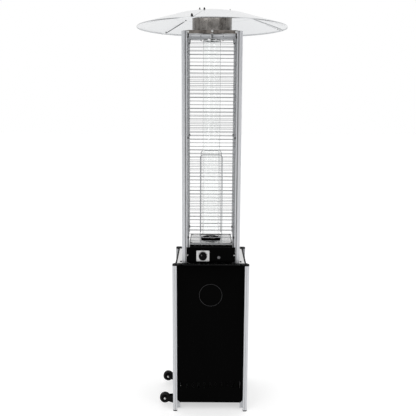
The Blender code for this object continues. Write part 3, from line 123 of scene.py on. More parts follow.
# fixings: a head's radius, or a thumb nut's width and height
PANEL_SCREW = 0.0032
FRONT_SCREW = 0.0045
DISH_SCREW = 0.0042
HEX_BOLT = 0.0046
CROWN_BOLT = 0.0050
FORK_RIVET = 0.0030
COLLAR_RIVET = 0.0025
BEZEL_RIVET = 0.0018
RIM_NUT = (0.0125, 0.0125)
HUB_NUT = (0.0105, 0.0110)
STUD_NUT = (0.0090, 0.0078)
BUFFER_INSET = 0.0095  # from the door's free edge
CAP_BUTTON_PLACE = (0.196, 0.199)
DECK_SIDE_BOLT = (0.170, 0.130)
DECK_END_BOLT = (0.120, 0.172)
FORK_RIVET_REACH = 0.0225
FORK_RIVET_HEIGHTS = (0.024, 0.054)
COLLAR_RIVET_ANGLES = (86, 94)
CLIP_SIZE = (0.0075, 0.0075, 0.0120)
HOLDER_PAD_REACH = 0.0628

# ---------------------------------------------------------------- view
LENS = 50.40
CAMERA_PLACE = (-0.0146, -3.3429, 1.7640)
CAMERA_PITCH = math.radians(90 - 10.18)
CAMERA_ROLL = math.radians(0.293)
CAMERA_YAW = math.radians(0.051)
FLOOR_SIZE = 60.0
FLOOR_GLOW = 0.55
LIGHT_SIZE = (1.6, 3.0)
LIGHT_TARGET = (0, 0, 1.4)
KEY_PLACE = (-2.2, -3.1, 2.6)
KEY_POWER = 26
FILL_PLACE = (2.9, -2.6, 2.4)
FILL_POWER = 24
WHITE = (1.0, 1.0, 1.0)


# ================================================================ materials
def new_material(name):
    made = bpy.data.materials.new(name)
    made.use_nodes = True
    return made, made.node_tree, made.node_tree.nodes["Principled BSDF"]


def set_inputs(made, **values):
    for key, value in values.items():
        made.inputs[key.replace("_", " ")].default_value = value


def node(tree, kind, **inputs):
    made = tree.nodes.new(kind)
    set_inputs(made, **inputs)
    return made


def noise(tree, stretch, scale, detail=4.0, roughness=0.55):
    """Noise in the object's own metres, stretched by dividing the scale along each axis."""
    place = tree.nodes.new("ShaderNodeTexCoord")
    mapping = node(tree, "ShaderNodeMapping", Scale=stretch)
    tree.links.new(place.outputs["Object"], mapping.inputs["Vector"])
    made = node(tree, "ShaderNodeTexNoise", Scale=scale, Detail=detail, Roughness=roughness)
    tree.links.new(mapping.outputs["Vector"], made.inputs["Vector"])
    return made.outputs["Fac"]


def spread(tree, source, low, high, start=0.3, end=0.7):
    """The source's middle range mapped to a range of numbers."""
    made = node(tree, "ShaderNodeMapRange", From_Min=start, From_Max=end, To_Min=low, To_Max=high)
    tree.links.new(source, made.inputs["Value"])
    return made.outputs["Result"]


def ramp(tree, source, stops):
    made = tree.nodes.new("ShaderNodeValToRGB")
    elements = made.color_ramp.elements
    while len(elements) < len(stops):
        elements.new(0.5)
    for element, (place, colour) in zip(elements, stops):
        element.position = place
        element.color = (*colour, 1.0)
    tree.links.new(source, made.inputs["Fac"])
    return made.outputs["Color"]


def mixed(tree, factor, source, colour):
    """The source's colour, turned to a plain one by the factor."""
    made = tree.nodes.new("ShaderNodeMix")
    made.data_type = "RGBA"
    tree.links.new(factor, made.inputs["Factor"])
    tree.links.new(source, made.inputs["A"])
    set_inputs(made, B=(*colour, 1.0))
    return made.outputs["Result"]


def calculated(tree, operation, first, second):
    made = tree.nodes.new("ShaderNodeMath")
    made.operation = operation
    tree.links.new(first, made.inputs[0])
    tree.links.new(second, made.inputs[1])
    return made.outputs["Value"]


def bump(tree, shader, source, strength, distance):
    made = node(tree, "ShaderNodeBump", Strength=strength, Distance=distance)
    tree.links.new(source, made.inputs["Height"])
    tree.links.new(made.outputs["Normal"], shader.inputs["Normal"])


def edge_wear(tree, colour_socket, worn, width, amount):
    """Lightens edges: the bevelled normal differs from the true one there."""
    bevel = node(tree, "ShaderNodeBevel", Radius=width)
    geometry = tree.nodes.new("ShaderNodeNewGeometry")
    dot = tree.nodes.new("ShaderNodeVectorMath")
    dot.operation = "DOT_PRODUCT"
    tree.links.new(bevel.outputs["Normal"], dot.inputs[0])
    tree.links.new(geometry.outputs["Normal"], dot.inputs[1])
    mask = spread(tree, dot.outputs["Value"], amount, 0.0, 0.90, 0.995)
    return mixed(tree, mask, colour_socket, worn)


def shade(colour, factor):
    return tuple(min(channel * factor, 1.0) for channel in colour)


def brushed(name, colour, rough, stretch, variation=0.10, anisotropic=0.4, strength=0.06, metallic=1.0):
    """Rolled, drawn or brushed metal: fine lines along one axis, a slow tone change, faint smudges."""
    made, tree, shader = new_material(name)
    lines = noise(tree, stretch, 60.0, 3.0)
    smudges = noise(tree, (1, 1, 1), 9.0, 5.0)
    stops = [(0.25, shade(colour, 1 - variation)), (0.75, shade(colour, 1 + variation))]
    tone = ramp(tree, lines, stops)
    tree.links.new(edge_wear(tree, tone, shade(colour, 1.15), 0.0005, 0.5), shader.inputs["Base Color"])
    lined = spread(tree, lines, rough * 0.8, rough * 1.2)
    total = calculated(tree, "ADD", lined, spread(tree, smudges, -0.02, 0.05))
    tree.links.new(total, shader.inputs["Roughness"])
    set_inputs(shader, Metallic=metallic, Anisotropic=anisotropic)
    bump(tree, shader, lines, strength, 0.0002)
    return made


def gloss_paint(name, colour, rough, specular, peel):
    """Powder coat: orange peel, a little dust in the roughness, and thin wear on the edges."""
    made, tree, shader = new_material(name)
    skin = noise(tree, (1, 1, 1), 260.0, 1.0)
    dust = noise(tree, (1, 1, 0.5), 6.0, 6.0, 0.65)
    tone = ramp(tree, dust, [(0.3, colour), (0.85, shade(colour, 1.8))])
    worn = edge_wear(tree, tone, (0.012, 0.012, 0.013), 0.0006, 0.35)
    tree.links.new(worn, shader.inputs["Base Color"])
    tree.links.new(spread(tree, dust, rough * 0.8, rough * 1.5), shader.inputs["Roughness"])
    set_inputs(shader, Specular_IOR_Level=specular)
    bump(tree, shader, skin, peel, 0.0002)
    return made


def moulded(name, colour, rough, grain_scale, grain, specular=0.30):
    """Moulded plastic or rubber with a fine grain."""
    made, tree, shader = new_material(name)
    texture = noise(tree, (1, 1, 1), grain_scale, 3.0)
    scuffs = noise(tree, (1, 1, 1), 40.0, 6.0, 0.7)
    tone = ramp(tree, scuffs, [(0.35, colour), (0.8, shade(colour, 2.2))])
    tree.links.new(edge_wear(tree, tone, shade(colour, 3.5), 0.0008, 0.5), shader.inputs["Base Color"])
    tree.links.new(spread(tree, scuffs, rough * 0.85, rough * 1.15), shader.inputs["Roughness"])
    set_inputs(shader, Specular_IOR_Level=specular)
    bump(tree, shader, texture, grain, 0.0003)
    return made


def heat_tinted(name, dark, light, rough, stretch, scale, spread_out=0.15):
    """Steel coloured by heat: brown and grey, with paler streaks that run along one axis."""
    made, tree, shader = new_material(name)
    streaks = noise(tree, stretch, scale, 5.0, 0.6)
    blotches = noise(tree, (1, 1, 1), 22.0, 6.0, 0.6)
    joined = tree.nodes.new("ShaderNodeMath")
    joined.operation = "MULTIPLY_ADD"
    tree.links.new(streaks, joined.inputs[0])
    joined.inputs[1].default_value = 0.7
    tree.links.new(spread(tree, blotches, 0.05, 0.25), joined.inputs[2])
    middle = tuple((a + b) / 2 for a, b in zip(dark, light))
    stops = [(0.50 - spread_out, dark), (0.50, middle), (0.50 + spread_out, light)]
    tone = ramp(tree, joined.outputs["Value"], stops)
    tree.links.new(edge_wear(tree, tone, light, 0.0005, 0.4), shader.inputs["Base Color"])
    tree.links.new(spread(tree, blotches, rough * 0.75, rough * 1.3), shader.inputs["Roughness"])
    set_inputs(shader, Metallic=1.0)
    bump(tree, shader, streaks, 0.05, 0.0003)
    return made


def clear_glass(name):
    made, tree, shader = new_material(name)
    streaks = noise(tree, (1, 1, 0.05), 30.0, 2.0)
    set_inputs(shader, Base_Color=(0.985, 0.992, 0.99, 1.0), Transmission_Weight=1.0, IOR=1.47)
    tree.links.new(spread(tree, streaks, 0.0, 0.018), shader.inputs["Roughness"])
    bump(tree, shader, streaks, 0.015, 0.0003)
    return made


def finishes():
    """Scene materials by the record's slot names, and a few for the small pieces."""
    soot = (0.0030, 0.0028, 0.0027)
    recipes = {
        "black_gloss_paint": (gloss_paint, (0.0005, 0.0005, 0.0005), 0.18, 0.018, 0.02),
        "black_steel": (gloss_paint, (0.0020, 0.0019, 0.0020), 0.36, 0.08, 0.08),
        "black_plastic": (moulded, (0.0022, 0.0022, 0.0024), 0.55, 900.0, 0.12, 0.06),
        "wheel_rubber": (moulded, (0.0050, 0.0048, 0.0048), 0.52, 600.0, 0.25, 0.25),
        "anodised_aluminium": (brushed, (0.63, 0.64, 0.66), 0.40, (6, 6, 0.12), 0.03, 0.2, 0.03, 0.35),
        "stainless_sheet": (brushed, (0.60, 0.60, 0.60), 0.16, (6, 0.3, 6), 0.05, 0.2, 0.03),
        "brushed_bezel": (brushed, (0.56, 0.56, 0.56), 0.30, (0.3, 6, 9), 0.12, 0.6, 0.10),
        "heat_tinted_steel": (heat_tinted, (0.115, 0.100, 0.088), (0.30, 0.27, 0.245), 0.36, (1, 1, 1), 60.0),
        "flue_steel": (
            heat_tinted, (0.050, 0.044, 0.040), (0.34, 0.32, 0.30), 0.26, (1, 1, 0.05), 15.0, 0.13
        ),
        "reflector_aluminium": (brushed, (0.72, 0.73, 0.74), 0.20, (1.5, 1.5, 1.5), 0.02, 0.0, 0.02),
        "cage_wire": (brushed, (0.38, 0.39, 0.40), 0.28, (0.5, 0.5, 0.5), 0.07, 0.0, 0.02),
        "borosilicate_glass": (clear_glass,),
        "brass_fitting": (brushed, (0.66, 0.48, 0.21), 0.28, (3, 3, 0.5), 0.08),
        "cast_valve_body": (brushed, (0.42, 0.42, 0.43), 0.48, (1, 1, 1), 0.12, 0.0, 0.20),
        "zinc_bolt": (brushed, (0.66, 0.66, 0.65), 0.24, (2, 2, 2), 0.08, 0.0, 0.04),
        "seal_silicone": (moulded, soot, 0.75, 500.0, 0.20, 0.01),
        "dark_burner_steel": (moulded, soot, 0.80, 500.0, 0.30, 0.01),
        "dark_screw": (brushed, (0.035, 0.033, 0.032), 0.34, (2, 2, 2), 0.15, 0.0, 0.04),
        # dark grey: painted shadow of the gap under the reflector's seams
        "seam_trim": (brushed, (0.15, 0.15, 0.155), 0.35, (2, 2, 2), 0.10, 0.0, 0.04),
        # very dark heat-tint tones: the hub's shadow painted across the collar's top band
        "scorched_steel": (
            heat_tinted, (0.020, 0.018, 0.017), (0.060, 0.055, 0.050), 0.40, (1, 1, 0.1), 20.0
        ),
        # darker than the dish: painted dark reflection on the rolled lip
        "rim_trim": (brushed, (0.60, 0.61, 0.62), 0.28, (2, 2, 2), 0.06, 0.0, 0.03),
        "button_plastic": (moulded, (0.115, 0.115, 0.12), 0.35, 600.0, 0.10),
        # paler than the door's black: painted highlight on the ring's crest
        "ring_trim": (gloss_paint, (0.030, 0.030, 0.031), 0.35, 0.20, 0.02),
        # darker grey that paints the shade in the legs' grooves and the posts' channels
        "groove_trim": (brushed, (0.34, 0.34, 0.35), 0.45, (2, 2, 0.3), 0.06, 0.0, 0.03, 0.4),
    }
    return {name: make(name, *values) for name, (make, *values) in recipes.items()}


# ================================================================ making pieces
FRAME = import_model()
LOOK = finishes()
NODE_SLOT = {part["node"]: part["material_slot"] for part in FRAME["record"]["subparts"]}
BODY_OF = {
    name: body for body, names in FRAME["record"]["behaviour"]["bodies"].items() for name in names
}


def low(name):
    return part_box(name)[0]


def high(name):
    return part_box(name)[1]


def middle(name):
    return (low(name) + high(name)) / 2


def half_size(name):
    return [(far - near) / 2 for near, far in zip(low(name), high(name))]


def piece(name, shape, finish, body="frame", stands_for=(), edge=0.0, sharp=40):
    """Makes a shape a piece: soft edges, smooth shading, a finish, and the body that it rides on."""
    mesh = bpy.data.meshes.new(name)
    bmesh.ops.recalc_face_normals(shape, faces=shape.faces)
    shape.to_mesh(mesh)
    shape.free()
    mesh.shade_smooth()
    mesh.set_sharp_from_angle(angle=math.radians(sharp))
    obj = bpy.data.objects.new(name, mesh)
    bpy.context.scene.collection.objects.link(obj)
    mesh.materials.append(LOOK[finish])
    if edge:
        soften = obj.modifiers.new("edges", "BEVEL")
        soften.width = edge
        soften.segments = 2
        soften.limit_method = "ANGLE"
        soften.angle_limit = math.radians(35)
        soften.harden_normals = True
    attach(obj, body)
    if stands_for:
        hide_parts(*stands_for)
    return obj


def polar(radius, angle):
    return radius * math.cos(angle), radius * math.sin(angle)


def second_finish(obj, finish, chosen):
    """Gives the faces whose centre and normal are chosen another finish."""
    obj.data.materials.append(LOOK[finish])
    for face in obj.data.polygons:
        if chosen(face.center, face.normal):
            face.material_index = 1


def stand_in(name, shape, finish, edge=0.0, sharp=40):
    """A redrawn shape in place of the CAD node, on the node's own body."""
    return piece(name + "_piece", shape, finish, BODY_OF[name], [name], edge, sharp)


def refine(name, finish=None, edge=EDGE):
    """The CAD node's own shape with its triangles joined into faces and its edges softened."""
    shape = bmesh.new()
    shape.from_mesh(FRAME["nodes"][name].data)
    bmesh.ops.remove_doubles(shape, verts=shape.verts, dist=0.000005)
    flat = math.radians(0.4)
    bmesh.ops.dissolve_limit(shape, angle_limit=flat, verts=shape.verts, edges=shape.edges)
    return stand_in(name, shape, finish or NODE_SLOT[name], edge)


def add_lathe(shape, profile, steps, place, closed=False):
    """Turns (radius, height) points about local Z. Points on the axis close the shape."""
    rings = []
    for radius, height in profile:
        if radius < 1e-7:
            rings.append([shape.verts.new(place @ Vector((0, 0, height)))])
            continue
        angles = [2 * math.pi * i / steps for i in range(steps)]
        rings.append([shape.verts.new(place @ Vector((*polar(radius, a), height))) for a in angles])
    pairs = list(zip(rings, rings[1:]))
    if closed:
        pairs.append((rings[-1], rings[0]))
    for first, second in pairs:
        for i in range(steps):
            j = (i + 1) % steps
            corners = [ring[k % len(ring)] for ring, k in ((first, i), (first, j), (second, j), (second, i))]
            face = list(dict.fromkeys(corners))
            if len(face) > 2:
                shape.faces.new(face)


def lathe(profile, steps=MEDIUM, place=Matrix.Identity(4), closed=False):
    shape = bmesh.new()
    add_lathe(shape, profile, steps, place, closed)
    return shape


def facing(centre, along="Z"):
    """A placement whose local Z points along Z, -Y, +Y, -X or +X."""
    turn = {
        "Z": Euler((0, 0, 0)),
        "-Y": Euler((math.pi / 2, 0, 0)),
        "+Y": Euler((-math.pi / 2, 0, 0)),
        "+X": Euler((0, math.pi / 2, 0)),
        "-X": Euler((0, -math.pi / 2, 0)),
    }[along]
    return Matrix.Translation(centre) @ turn.to_matrix().to_4x4()


def add_prism(shape, outline, start, end, place=Matrix.Identity(4)):
    """An outline in local X and Y, filled, from one height to another."""
    bottom = [shape.verts.new(place @ Vector((x, y, start))) for x, y in outline]
    top = [shape.verts.new(place @ Vector((x, y, end))) for x, y in outline]
    shape.faces.new(bottom[::-1])
    shape.faces.new(top)
    for i in range(len(outline)):
        j = (i + 1) % len(outline)
        shape.faces.new((bottom[i], bottom[j], top[j], top[i]))


def add_block(shape, size, centre, turn=Matrix.Identity(4)):
    scale = Matrix.Diagonal((*size, 1.0))
    bmesh.ops.create_cube(shape, size=1.0, matrix=turn @ Matrix.Translation(centre) @ scale)


def add_rod(shape, start, end, radius, sides=10, turn=Matrix.Identity(4)):
    """A straight round bar with small chamfers on its ends."""
    start, end = Vector(start), Vector(end)
    length = (end - start).length
    direction = (end - start).to_track_quat("Z", "Y").to_matrix().to_4x4()
    chamfer = radius * 0.35
    profile = [
        (0, 0), (radius - chamfer, 0), (radius, chamfer), (radius, length - chamfer),
        (radius - chamfer, length), (0, length),
    ]
    add_lathe(shape, profile, sides, turn @ Matrix.Translation(start) @ direction)


def add_tube(shape, points, radius, sides=10, turn=Matrix.Identity(4)):
    """A round bar that follows points which turn about one fixed axis or gently."""
    rings = []
    for i, point in enumerate(points):
        ahead = points[min(i + 1, len(points) - 1)]
        behind = points[max(i - 1, 0)]
        basis = (ahead - behind).to_track_quat("Z", "Y").to_matrix()
        ring = []
        for k in range(sides):
            angle = 2 * math.pi * k / sides
            spot = point + basis @ Vector((*polar(radius, angle), 0))
            ring.append(shape.verts.new(turn @ spot))
        rings.append(ring)
    for first, second in zip(rings, rings[1:]):
        offset = min(range(sides), key=lambda k: (first[0].co - second[k].co).length)
        for k in range(sides):
            n = (k + 1) % sides
            across, back = (n + offset) % sides, (k + offset) % sides
            shape.faces.new((first[k], first[n], second[across], second[back]))
    shape.faces.new(rings[0][::-1])
    shape.faces.new(rings[-1])


def arc(cx, cy, radius, start, end, steps):
    angles = [math.radians(start + (end - start) * i / steps) for i in range(steps + 1)]
    return [(cx + radius * math.cos(a), cy + radius * math.sin(a)) for a in angles]


def hexagon(radius):
    return [polar(radius, math.radians(60 * i)) for i in range(6)]


def quarter_turn(count):
    return Matrix.Rotation(count * math.pi / 2, 4, "Z")


# ================================================================ fasteners
def add_pan_screw(shape, radius, place):
    """Round head with a cross recess."""
    height = radius * 0.62
    recess = radius * 0.42
    profile = [(0, height * 0.45), (recess * 0.5, height * 0.45), (recess * 0.7, height)]
    profile += [(radius * math.sin(a), height * math.cos(a)) for a in [0.6, 0.9, 1.2, 1.5]]
    profile += [(radius, 0), (0, 0)]
    add_lathe(shape, profile, SMALL, place)
    for turn in (0, math.pi / 2):
        bar = place @ Matrix.Rotation(turn, 4, "Z")
        add_block(shape, (recess * 2.1, recess * 0.35, height * 0.2), (0, 0, height * 0.90), bar)


def add_hex_bolt(shape, radius, place):
    """Hexagon head on a washer."""
    height = radius * 0.75
    washer = radius * 0.22
    rim = radius * 1.32
    add_lathe(shape, [(0, 0), (rim, 0), (rim, washer), (0, washer)], SMALL, place)
    add_prism(shape, hexagon(radius), washer * 0.9, height, place)
    seat = height - washer * 0.2
    dome = [(0, height + washer * 0.6), (radius * 0.55, height + washer * 0.4)]
    add_lathe(shape, dome + [(radius * 0.8, seat), (0, seat)], SMALL, place)


def add_thumb_nut(shape, size, height, place):
    """Washer, and a knurled nut that narrows to a rounded top."""
    radius = size / 2
    outline = [(1, 0), (1, 0.12), (0.88, 0.14), (0.86, 0.55), (0.62, 0.62), (0.55, 0.90), (0.35, 1)]
    profile = [(0, 0)] + [(radius * r, height * z) for r, z in outline] + [(0, height)]
    add_lathe(shape, profile, SMALL, place)
    rib = (radius * 0.12, radius * 0.16, height * 0.36)
    for i in range(12):
        turn = place @ Matrix.Rotation(2 * math.pi * i / 12, 4, "Z")
        add_block(shape, rib, (radius * 0.87, 0, height * 0.34), turn)


def fasteners(name, kind, radius, places, finish):
    shape = bmesh.new()
    for place in places:
        kind(shape, radius, place)
    return piece(name, shape, finish, edge=0.0002)


# ================================================================ cabinet
def cabinet():
    for name in ("side_panel_left", "side_panel_right", "rear_panel", "door_panel"):
        refine(name, edge=0.0008)
    for corner in CORNERS:
        refine(f"leg_{corner}", edge=0.0005)
        refine(f"foot_{corner}", edge=0.0010)
        refine(f"leg_cap_{corner}", edge=0.0014)
    for name in ("bottle_shelf", "door_catch", "door_hinge_lower", "door_hinge_upper"):
        refine(name)
    refine("deck_plate", edge=0.0009)
    leg_grooves()
    door_ring()
    door_seal()
    cabinet_fasteners()
    deck_edges()


def leg_grooves():
    """Darker strips on the floor of the groove that runs down both outer faces of each leg: painted shade of
    the groove.
    """
    shape = bmesh.new()
    leg_low, leg_high = low("leg_front_left"), high("leg_rear_right")
    half, reach = leg_high.x, leg_high.x - GROOVE_PLACE
    size = (0.0019, 0.0003, leg_high.z - leg_low.z - 0.002)
    for k in range(4):
        for side in (-1, 1):
            centre = (side * reach, -half + GROOVE_FLOOR, (leg_high.z + leg_low.z) / 2)
            add_block(shape, size, centre, quarter_turn(k))
    piece("leg_groove_shade_strips", shape, "groove_trim")


def door_ring():
    """The pressed ring's bead, in a paler paint than the door: a painted highlight along its crest."""
    front = high("door_panel").y - DOOR_DEPTH
    foot, crest = (RING_HALF_WIDTH, 0.0010), (RING_HALF_WIDTH / 2, RING_CREST)
    profile = [(RING_RADIUS - x, z) for x, z in (foot, crest)]
    profile += [(RING_RADIUS + x, z) for x, z in (crest, foot)]
    shape = lathe(profile, FINE, facing((0, front, RING_HEIGHT), "-Y"), closed=True)
    piece("door_ring_crest", shape, "ring_trim", BODY_OF["door_panel"])


def door_seal():
    """Small black buffers on the flange that the closed door's free edge meets."""
    shape = bmesh.new()
    rear = low("leg_front_left").y + LEG_FLANGE_DEPTH
    depth = rear - high("door_panel").y - 2 * SHEET_GAP
    profile = [(0, 0), (0.0045, 0), (0.0040, depth * 0.8), (0.003, depth), (0, depth)]
    for height in BUFFER_HEIGHTS:
        place = facing((high("door_panel").x - BUFFER_INSET, rear - SHEET_GAP, height), "-Y")
        add_lathe(shape, profile, SMALL, place)
    piece("door_buffers", shape, "black_plastic")


def cabinet_fasteners():
    """Screws of the panels, bolts of the deck, buttons of the caps and rivets of the wheels' forks."""
    left, right = low("side_panel_left").x, high("side_panel_right").x
    rear = high("rear_panel").y - PANEL_SCREW_SINK
    inset = high("side_panel_right").y - 0.006
    places = []
    for height in PANEL_SCREW_HEIGHTS:
        for y in (-inset, inset):
            places.append(facing((right - PANEL_SCREW_SINK, y, height), "+X"))
            places.append(facing((left + PANEL_SCREW_SINK, y, height), "-X"))
        for x in (-inset, inset):
            places.append(facing((x, rear, height), "+Y"))
    fasteners("panel_screws", add_pan_screw, PANEL_SCREW, places, "black_steel")

    deck = high("deck_plate").z
    reach, along = DECK_SIDE_BOLT
    bolts = [facing((side * reach, y, deck)) for side in (-1, 1) for y in (-along, along)]
    along, reach = DECK_END_BOLT
    bolts += [facing((x, side * reach, deck)) for side in (-1, 1) for x in (-along, along)]
    fasteners("deck_bolts", add_hex_bolt, HEX_BOLT, bolts, "dark_screw")

    buttons = bmesh.new()
    button = [(0.0045, 0), (0.0045, 0.002), (0.003, 0.003), (0, 0.0032), (0, 0)]
    button_x, button_y = CAP_BUTTON_PLACE
    for x, y in QUADRANTS:
        place = facing((x * button_x, y * button_y, high("leg_cap_rear_left").z))
        add_lathe(buttons, button, SMALL, place)
    piece("cap_buttons", buttons, "black_plastic")

    rivets = []
    for which in ("front", "rear"):
        fork = f"wheel_fork_{which}"
        for offset in (-FORK_RIVET_REACH, FORK_RIVET_REACH):
            for z in FORK_RIVET_HEIGHTS:
                rivets.append(facing((high(fork).x - 0.0025, middle(fork).y + offset, z), "-X"))
    fasteners("fork_rivets", add_pan_screw, FORK_RIVET, rivets, "black_steel")


def deck_edges():
    """Black sealing strips between the deck and the cabinet's top edges, round the bright deck."""
    shape = bmesh.new()
    deck_low, deck_high = low("deck_plate"), high("deck_plate")
    top = deck_high.z
    seat = high("side_panel_right").z + SHEET_GAP
    tall, centre = top - seat + 0.0004, (top + seat) / 2
    inner_x, outer_x = deck_high.x + 0.0004, high("side_panel_right").x - 0.0002
    inner_y, outer_y = deck_high.y + 0.0004, high("rear_panel").y - 0.0002
    for side in (-1, 1):
        size = (outer_x - inner_x, DECK_STRIP_LENGTH, tall)
        add_block(shape, size, (side * (inner_x + outer_x) / 2, 0, centre))
        size = (DECK_STRIP_LENGTH, outer_y - inner_y, tall)
        add_block(shape, size, (0, side * (inner_y + outer_y) / 2, centre))
    piece("deck_edge_strips", shape, "black_plastic", edge=0.0010)
    cover = bmesh.new()
    front, rear = deck_low.y, DECK_FRONT_STRIP_REAR
    size = (2 * deck_high.x - 0.004, rear - front, 0.0008)
    add_block(cover, size, (0, (rear + front) / 2, top + 0.0006))
    piece("deck_front_strip", cover, "black_gloss_paint", edge=0.0003)


# ================================================================ wheels
def wheels():
    for which in ("front", "rear"):
        wheel(which)
        refine(f"wheel_fork_{which}", edge=0.0008)
        axle_bolt(which)


def wheel(which):
    """Solid tyre with two fine grooves on a moulded hub with six webs."""
    name = f"wheel_{which}"
    half, radius = half_size(name)[1:]
    bore = 0.0046
    tread = arc(radius - 0.005, half - 0.005, 0.005, 0, 90, 6)
    groove = [(radius, 0.0045), (radius - 0.0008, 0.0040), (radius - 0.0008, 0.0030), (radius, 0.0025)]
    face = [(radius * 0.76, half), (radius * 0.735, half - 0.0008), (radius * 0.70, half - 0.0008)]
    side = groove[::-1] + tread + face
    tyre = side + [(radius * 0.70, -half + 0.0008)] + [(r, -z) for r, z in reversed(side)][1:]
    place = facing(middle(name), "-Y")
    tread_shape = lathe(tyre, MEDIUM, place, closed=True)
    piece(name + "_tyre", tread_shape, "wheel_rubber", name, [name], edge=0.0002)
    rim = radius * 0.698
    hub = [
        (bore, half - 0.0002), (bore + 0.0045, half - 0.0002), (bore + 0.0050, half - 0.0030),
        (rim - 0.0035, half - 0.0042), (rim - 0.0025, half - 0.0012), (rim, half - 0.0012),
    ]
    core = lathe(hub + [(r, -z) for r, z in reversed(hub)], MEDIUM, place, closed=True)
    for i in range(6):
        turn = place @ Matrix.Rotation(math.radians(60 * i), 4, "Z")
        size = (rim - bore - 0.007, 0.0020, 2 * (half - 0.0022))
        add_block(core, size, ((rim + bore) / 2, 0, 0), turn)
    piece(name + "_hub", core, "black_plastic", name, edge=0.0003)


def axle_bolt(which):
    """Domed bright head with a socket, a plain shank and a lock nut behind."""
    name = f"axle_bolt_{which}"
    reach, head = half_size(name)[1:]
    place = facing(middle(name), "-Y")
    shank, end = 0.004, -reach + 0.0002
    seat = reach - 0.0045
    steps = (0, 0.3, 0.6, 0.9, 1.15)
    dome = [(head * math.cos(a), seat + 0.0012 + 0.0033 * math.sin(a)) for a in steps]
    socket = [(head * 0.34, reach), (head * 0.30, reach - 0.0022), (0, reach - 0.0022)]
    profile = [(0, end), (shank, end), (shank, seat), (head, seat)] + dome + socket
    shape = lathe(profile, SMALL, place)
    add_prism(shape, hexagon(head), -reach + 0.0008, -seat, place)
    stand_in(name, shape, "zinc_bolt", edge=0.0002)


# ================================================================ control section
def control_section():
    for name in ("control_panel", "control_box"):
        refine(name, edge=0.0007)
    refine("burner_plate", edge=0.0009)
    refine("knob_bezel", edge=0.0003)
    for name in ("gas_valve", "tilt_switch", "spindle_collar", "valve_spindle", "pilot_assembly"):
        refine(name, edge=0.0004)
    knob()
    igniter()
    inlet_spigot()
    gas_pipe()
    burner()
    plate_trim()
    panel_details()


def knob():
    """Skirt with fine ribs, a raised grip bar and a plain pointer line."""
    name = "control_knob"
    centre = middle(name)
    back, front = high(name).y, low(name).y
    radius = half_size(name)[0]
    place = facing((centre.x, back, centre.z), "-Y")
    length = back - front
    disc = length * 0.6
    profile = [(0.0043, 0.0004), (0.0043, 0.0125), (0, 0.0125)]
    outer = [(0, disc - 0.0006), (radius * 0.62, disc - 0.0006), (radius * 0.72, disc)]
    outer += arc(radius - 0.0035, disc - 0.0025, 0.0025, 90, 20, 5)
    hem = ((0.0006, 0.0015), (0.0012, 0.0), (0.0040, 0.0), (0.0048, 0.0004))
    outer += [(radius - inset, height) for inset, height in hem]
    shape = lathe(outer + profile, MEDIUM, place)
    turn = place @ Matrix.Rotation(KNOB_REST_ANGLE, 4, "Z")
    grip_half, grip_width, nose = radius - 0.0030, 0.0046, 0.0022
    grip = arc(0, grip_half - nose, nose, 10, 170, 6)
    grip = [(x * grip_width / nose, y) for x, y in grip]
    grip += [(-x, -y) for x, y in grip]
    add_prism(shape, grip, disc * 0.5, length - 0.0001, turn)
    rib = 0.0009
    ribs = 40
    for i in range(ribs):
        angle = Matrix.Rotation(2 * math.pi * i / ribs, 4, "Z")
        add_block(shape, (rib, rib, disc - 0.0055), (radius - rib, 0, disc / 2 - 0.0005), place @ angle)
    stand_in(name, shape, "black_plastic", edge=0.0004)
    mark = bmesh.new()
    add_block(mark, (0.0012, grip_half * 0.42, 0.0003), (0, grip_half * 0.66, length), turn)
    piece("knob_pointer", mark, "cast_valve_body", "knob")


def igniter():
    """Body with a bored front, its nut behind the panel, and the button."""
    name = "igniter_body"
    centre = middle(name)
    panel_front = low("control_panel").y
    place = facing((centre.x, panel_front, centre.z), "-Y")
    flange, tube, bore, bore_floor = 0.0111, 0.0097, 0.0083, -0.0179
    profile = [
        (bore, bore_floor), (bore, 0.0016), (bore + 0.0006, 0.0021), (flange - 0.0010, 0.0021),
        (flange, 0.0012), (flange, 0.0003), (tube, 0.0003), (tube, -0.0435), (0, -0.0440),
    ]
    stand_in(name, lathe([(0, bore_floor)] + profile, MEDIUM, place), "black_plastic")
    nut = bmesh.new()
    add_prism(nut, hexagon(0.0130), -0.0060, -0.0018, place)
    piece("igniter_nut", nut, "black_plastic", edge=0.0004)
    button = "igniter_button"
    radius = half_size(button)[0]
    proud = panel_front - low(button).y
    face = [(0, proud - 0.0008), (radius * 0.45, proud - 0.0006), (radius * 0.75, proud - 0.0001)]
    face += arc(radius - 0.0009, proud - 0.0009, 0.0009, 80, 0, 4)
    face += [(radius, -0.0095), (0, -0.0095)]
    stand_in(button, lathe(face, MEDIUM, place), "button_plastic")


def inlet_spigot():
    """Brass tail for the hose, with five barbs."""
    name = "inlet_spigot"
    centre, top, bottom = middle(name), high(name).z, low(name).z
    radius = half_size(name)[0]
    bore = 0.0035
    profile = [(bore, top), (radius - 0.0006, top), (radius, top - 0.0006), (radius, bottom + 0.0270)]
    for i in range(5):
        z = bottom + 0.0262 - i * 0.0052
        profile += [(0.0046, z), (0.0058, z - 0.0008), (0.0044, z - 0.0050)]
    profile += [(0.0042, bottom), (bore, bottom)]
    stand_in(name, lathe(profile, SMALL, facing((centre.x, centre.y, 0)), closed=True), "brass_fitting")


def gas_pipe():
    """The pipe, and the union nut that holds it on the valve."""
    refine("gas_pipe", edge=0.0)
    shape = bmesh.new()
    knob_centre = middle("control_knob")
    place = facing((knob_centre.x, high("gas_valve").y, knob_centre.z), "+Y")
    add_prism(shape, hexagon(0.0072), 0.0012, 0.0085, place)
    piece("pipe_union", shape, "brass_fitting", edge=0.0005)


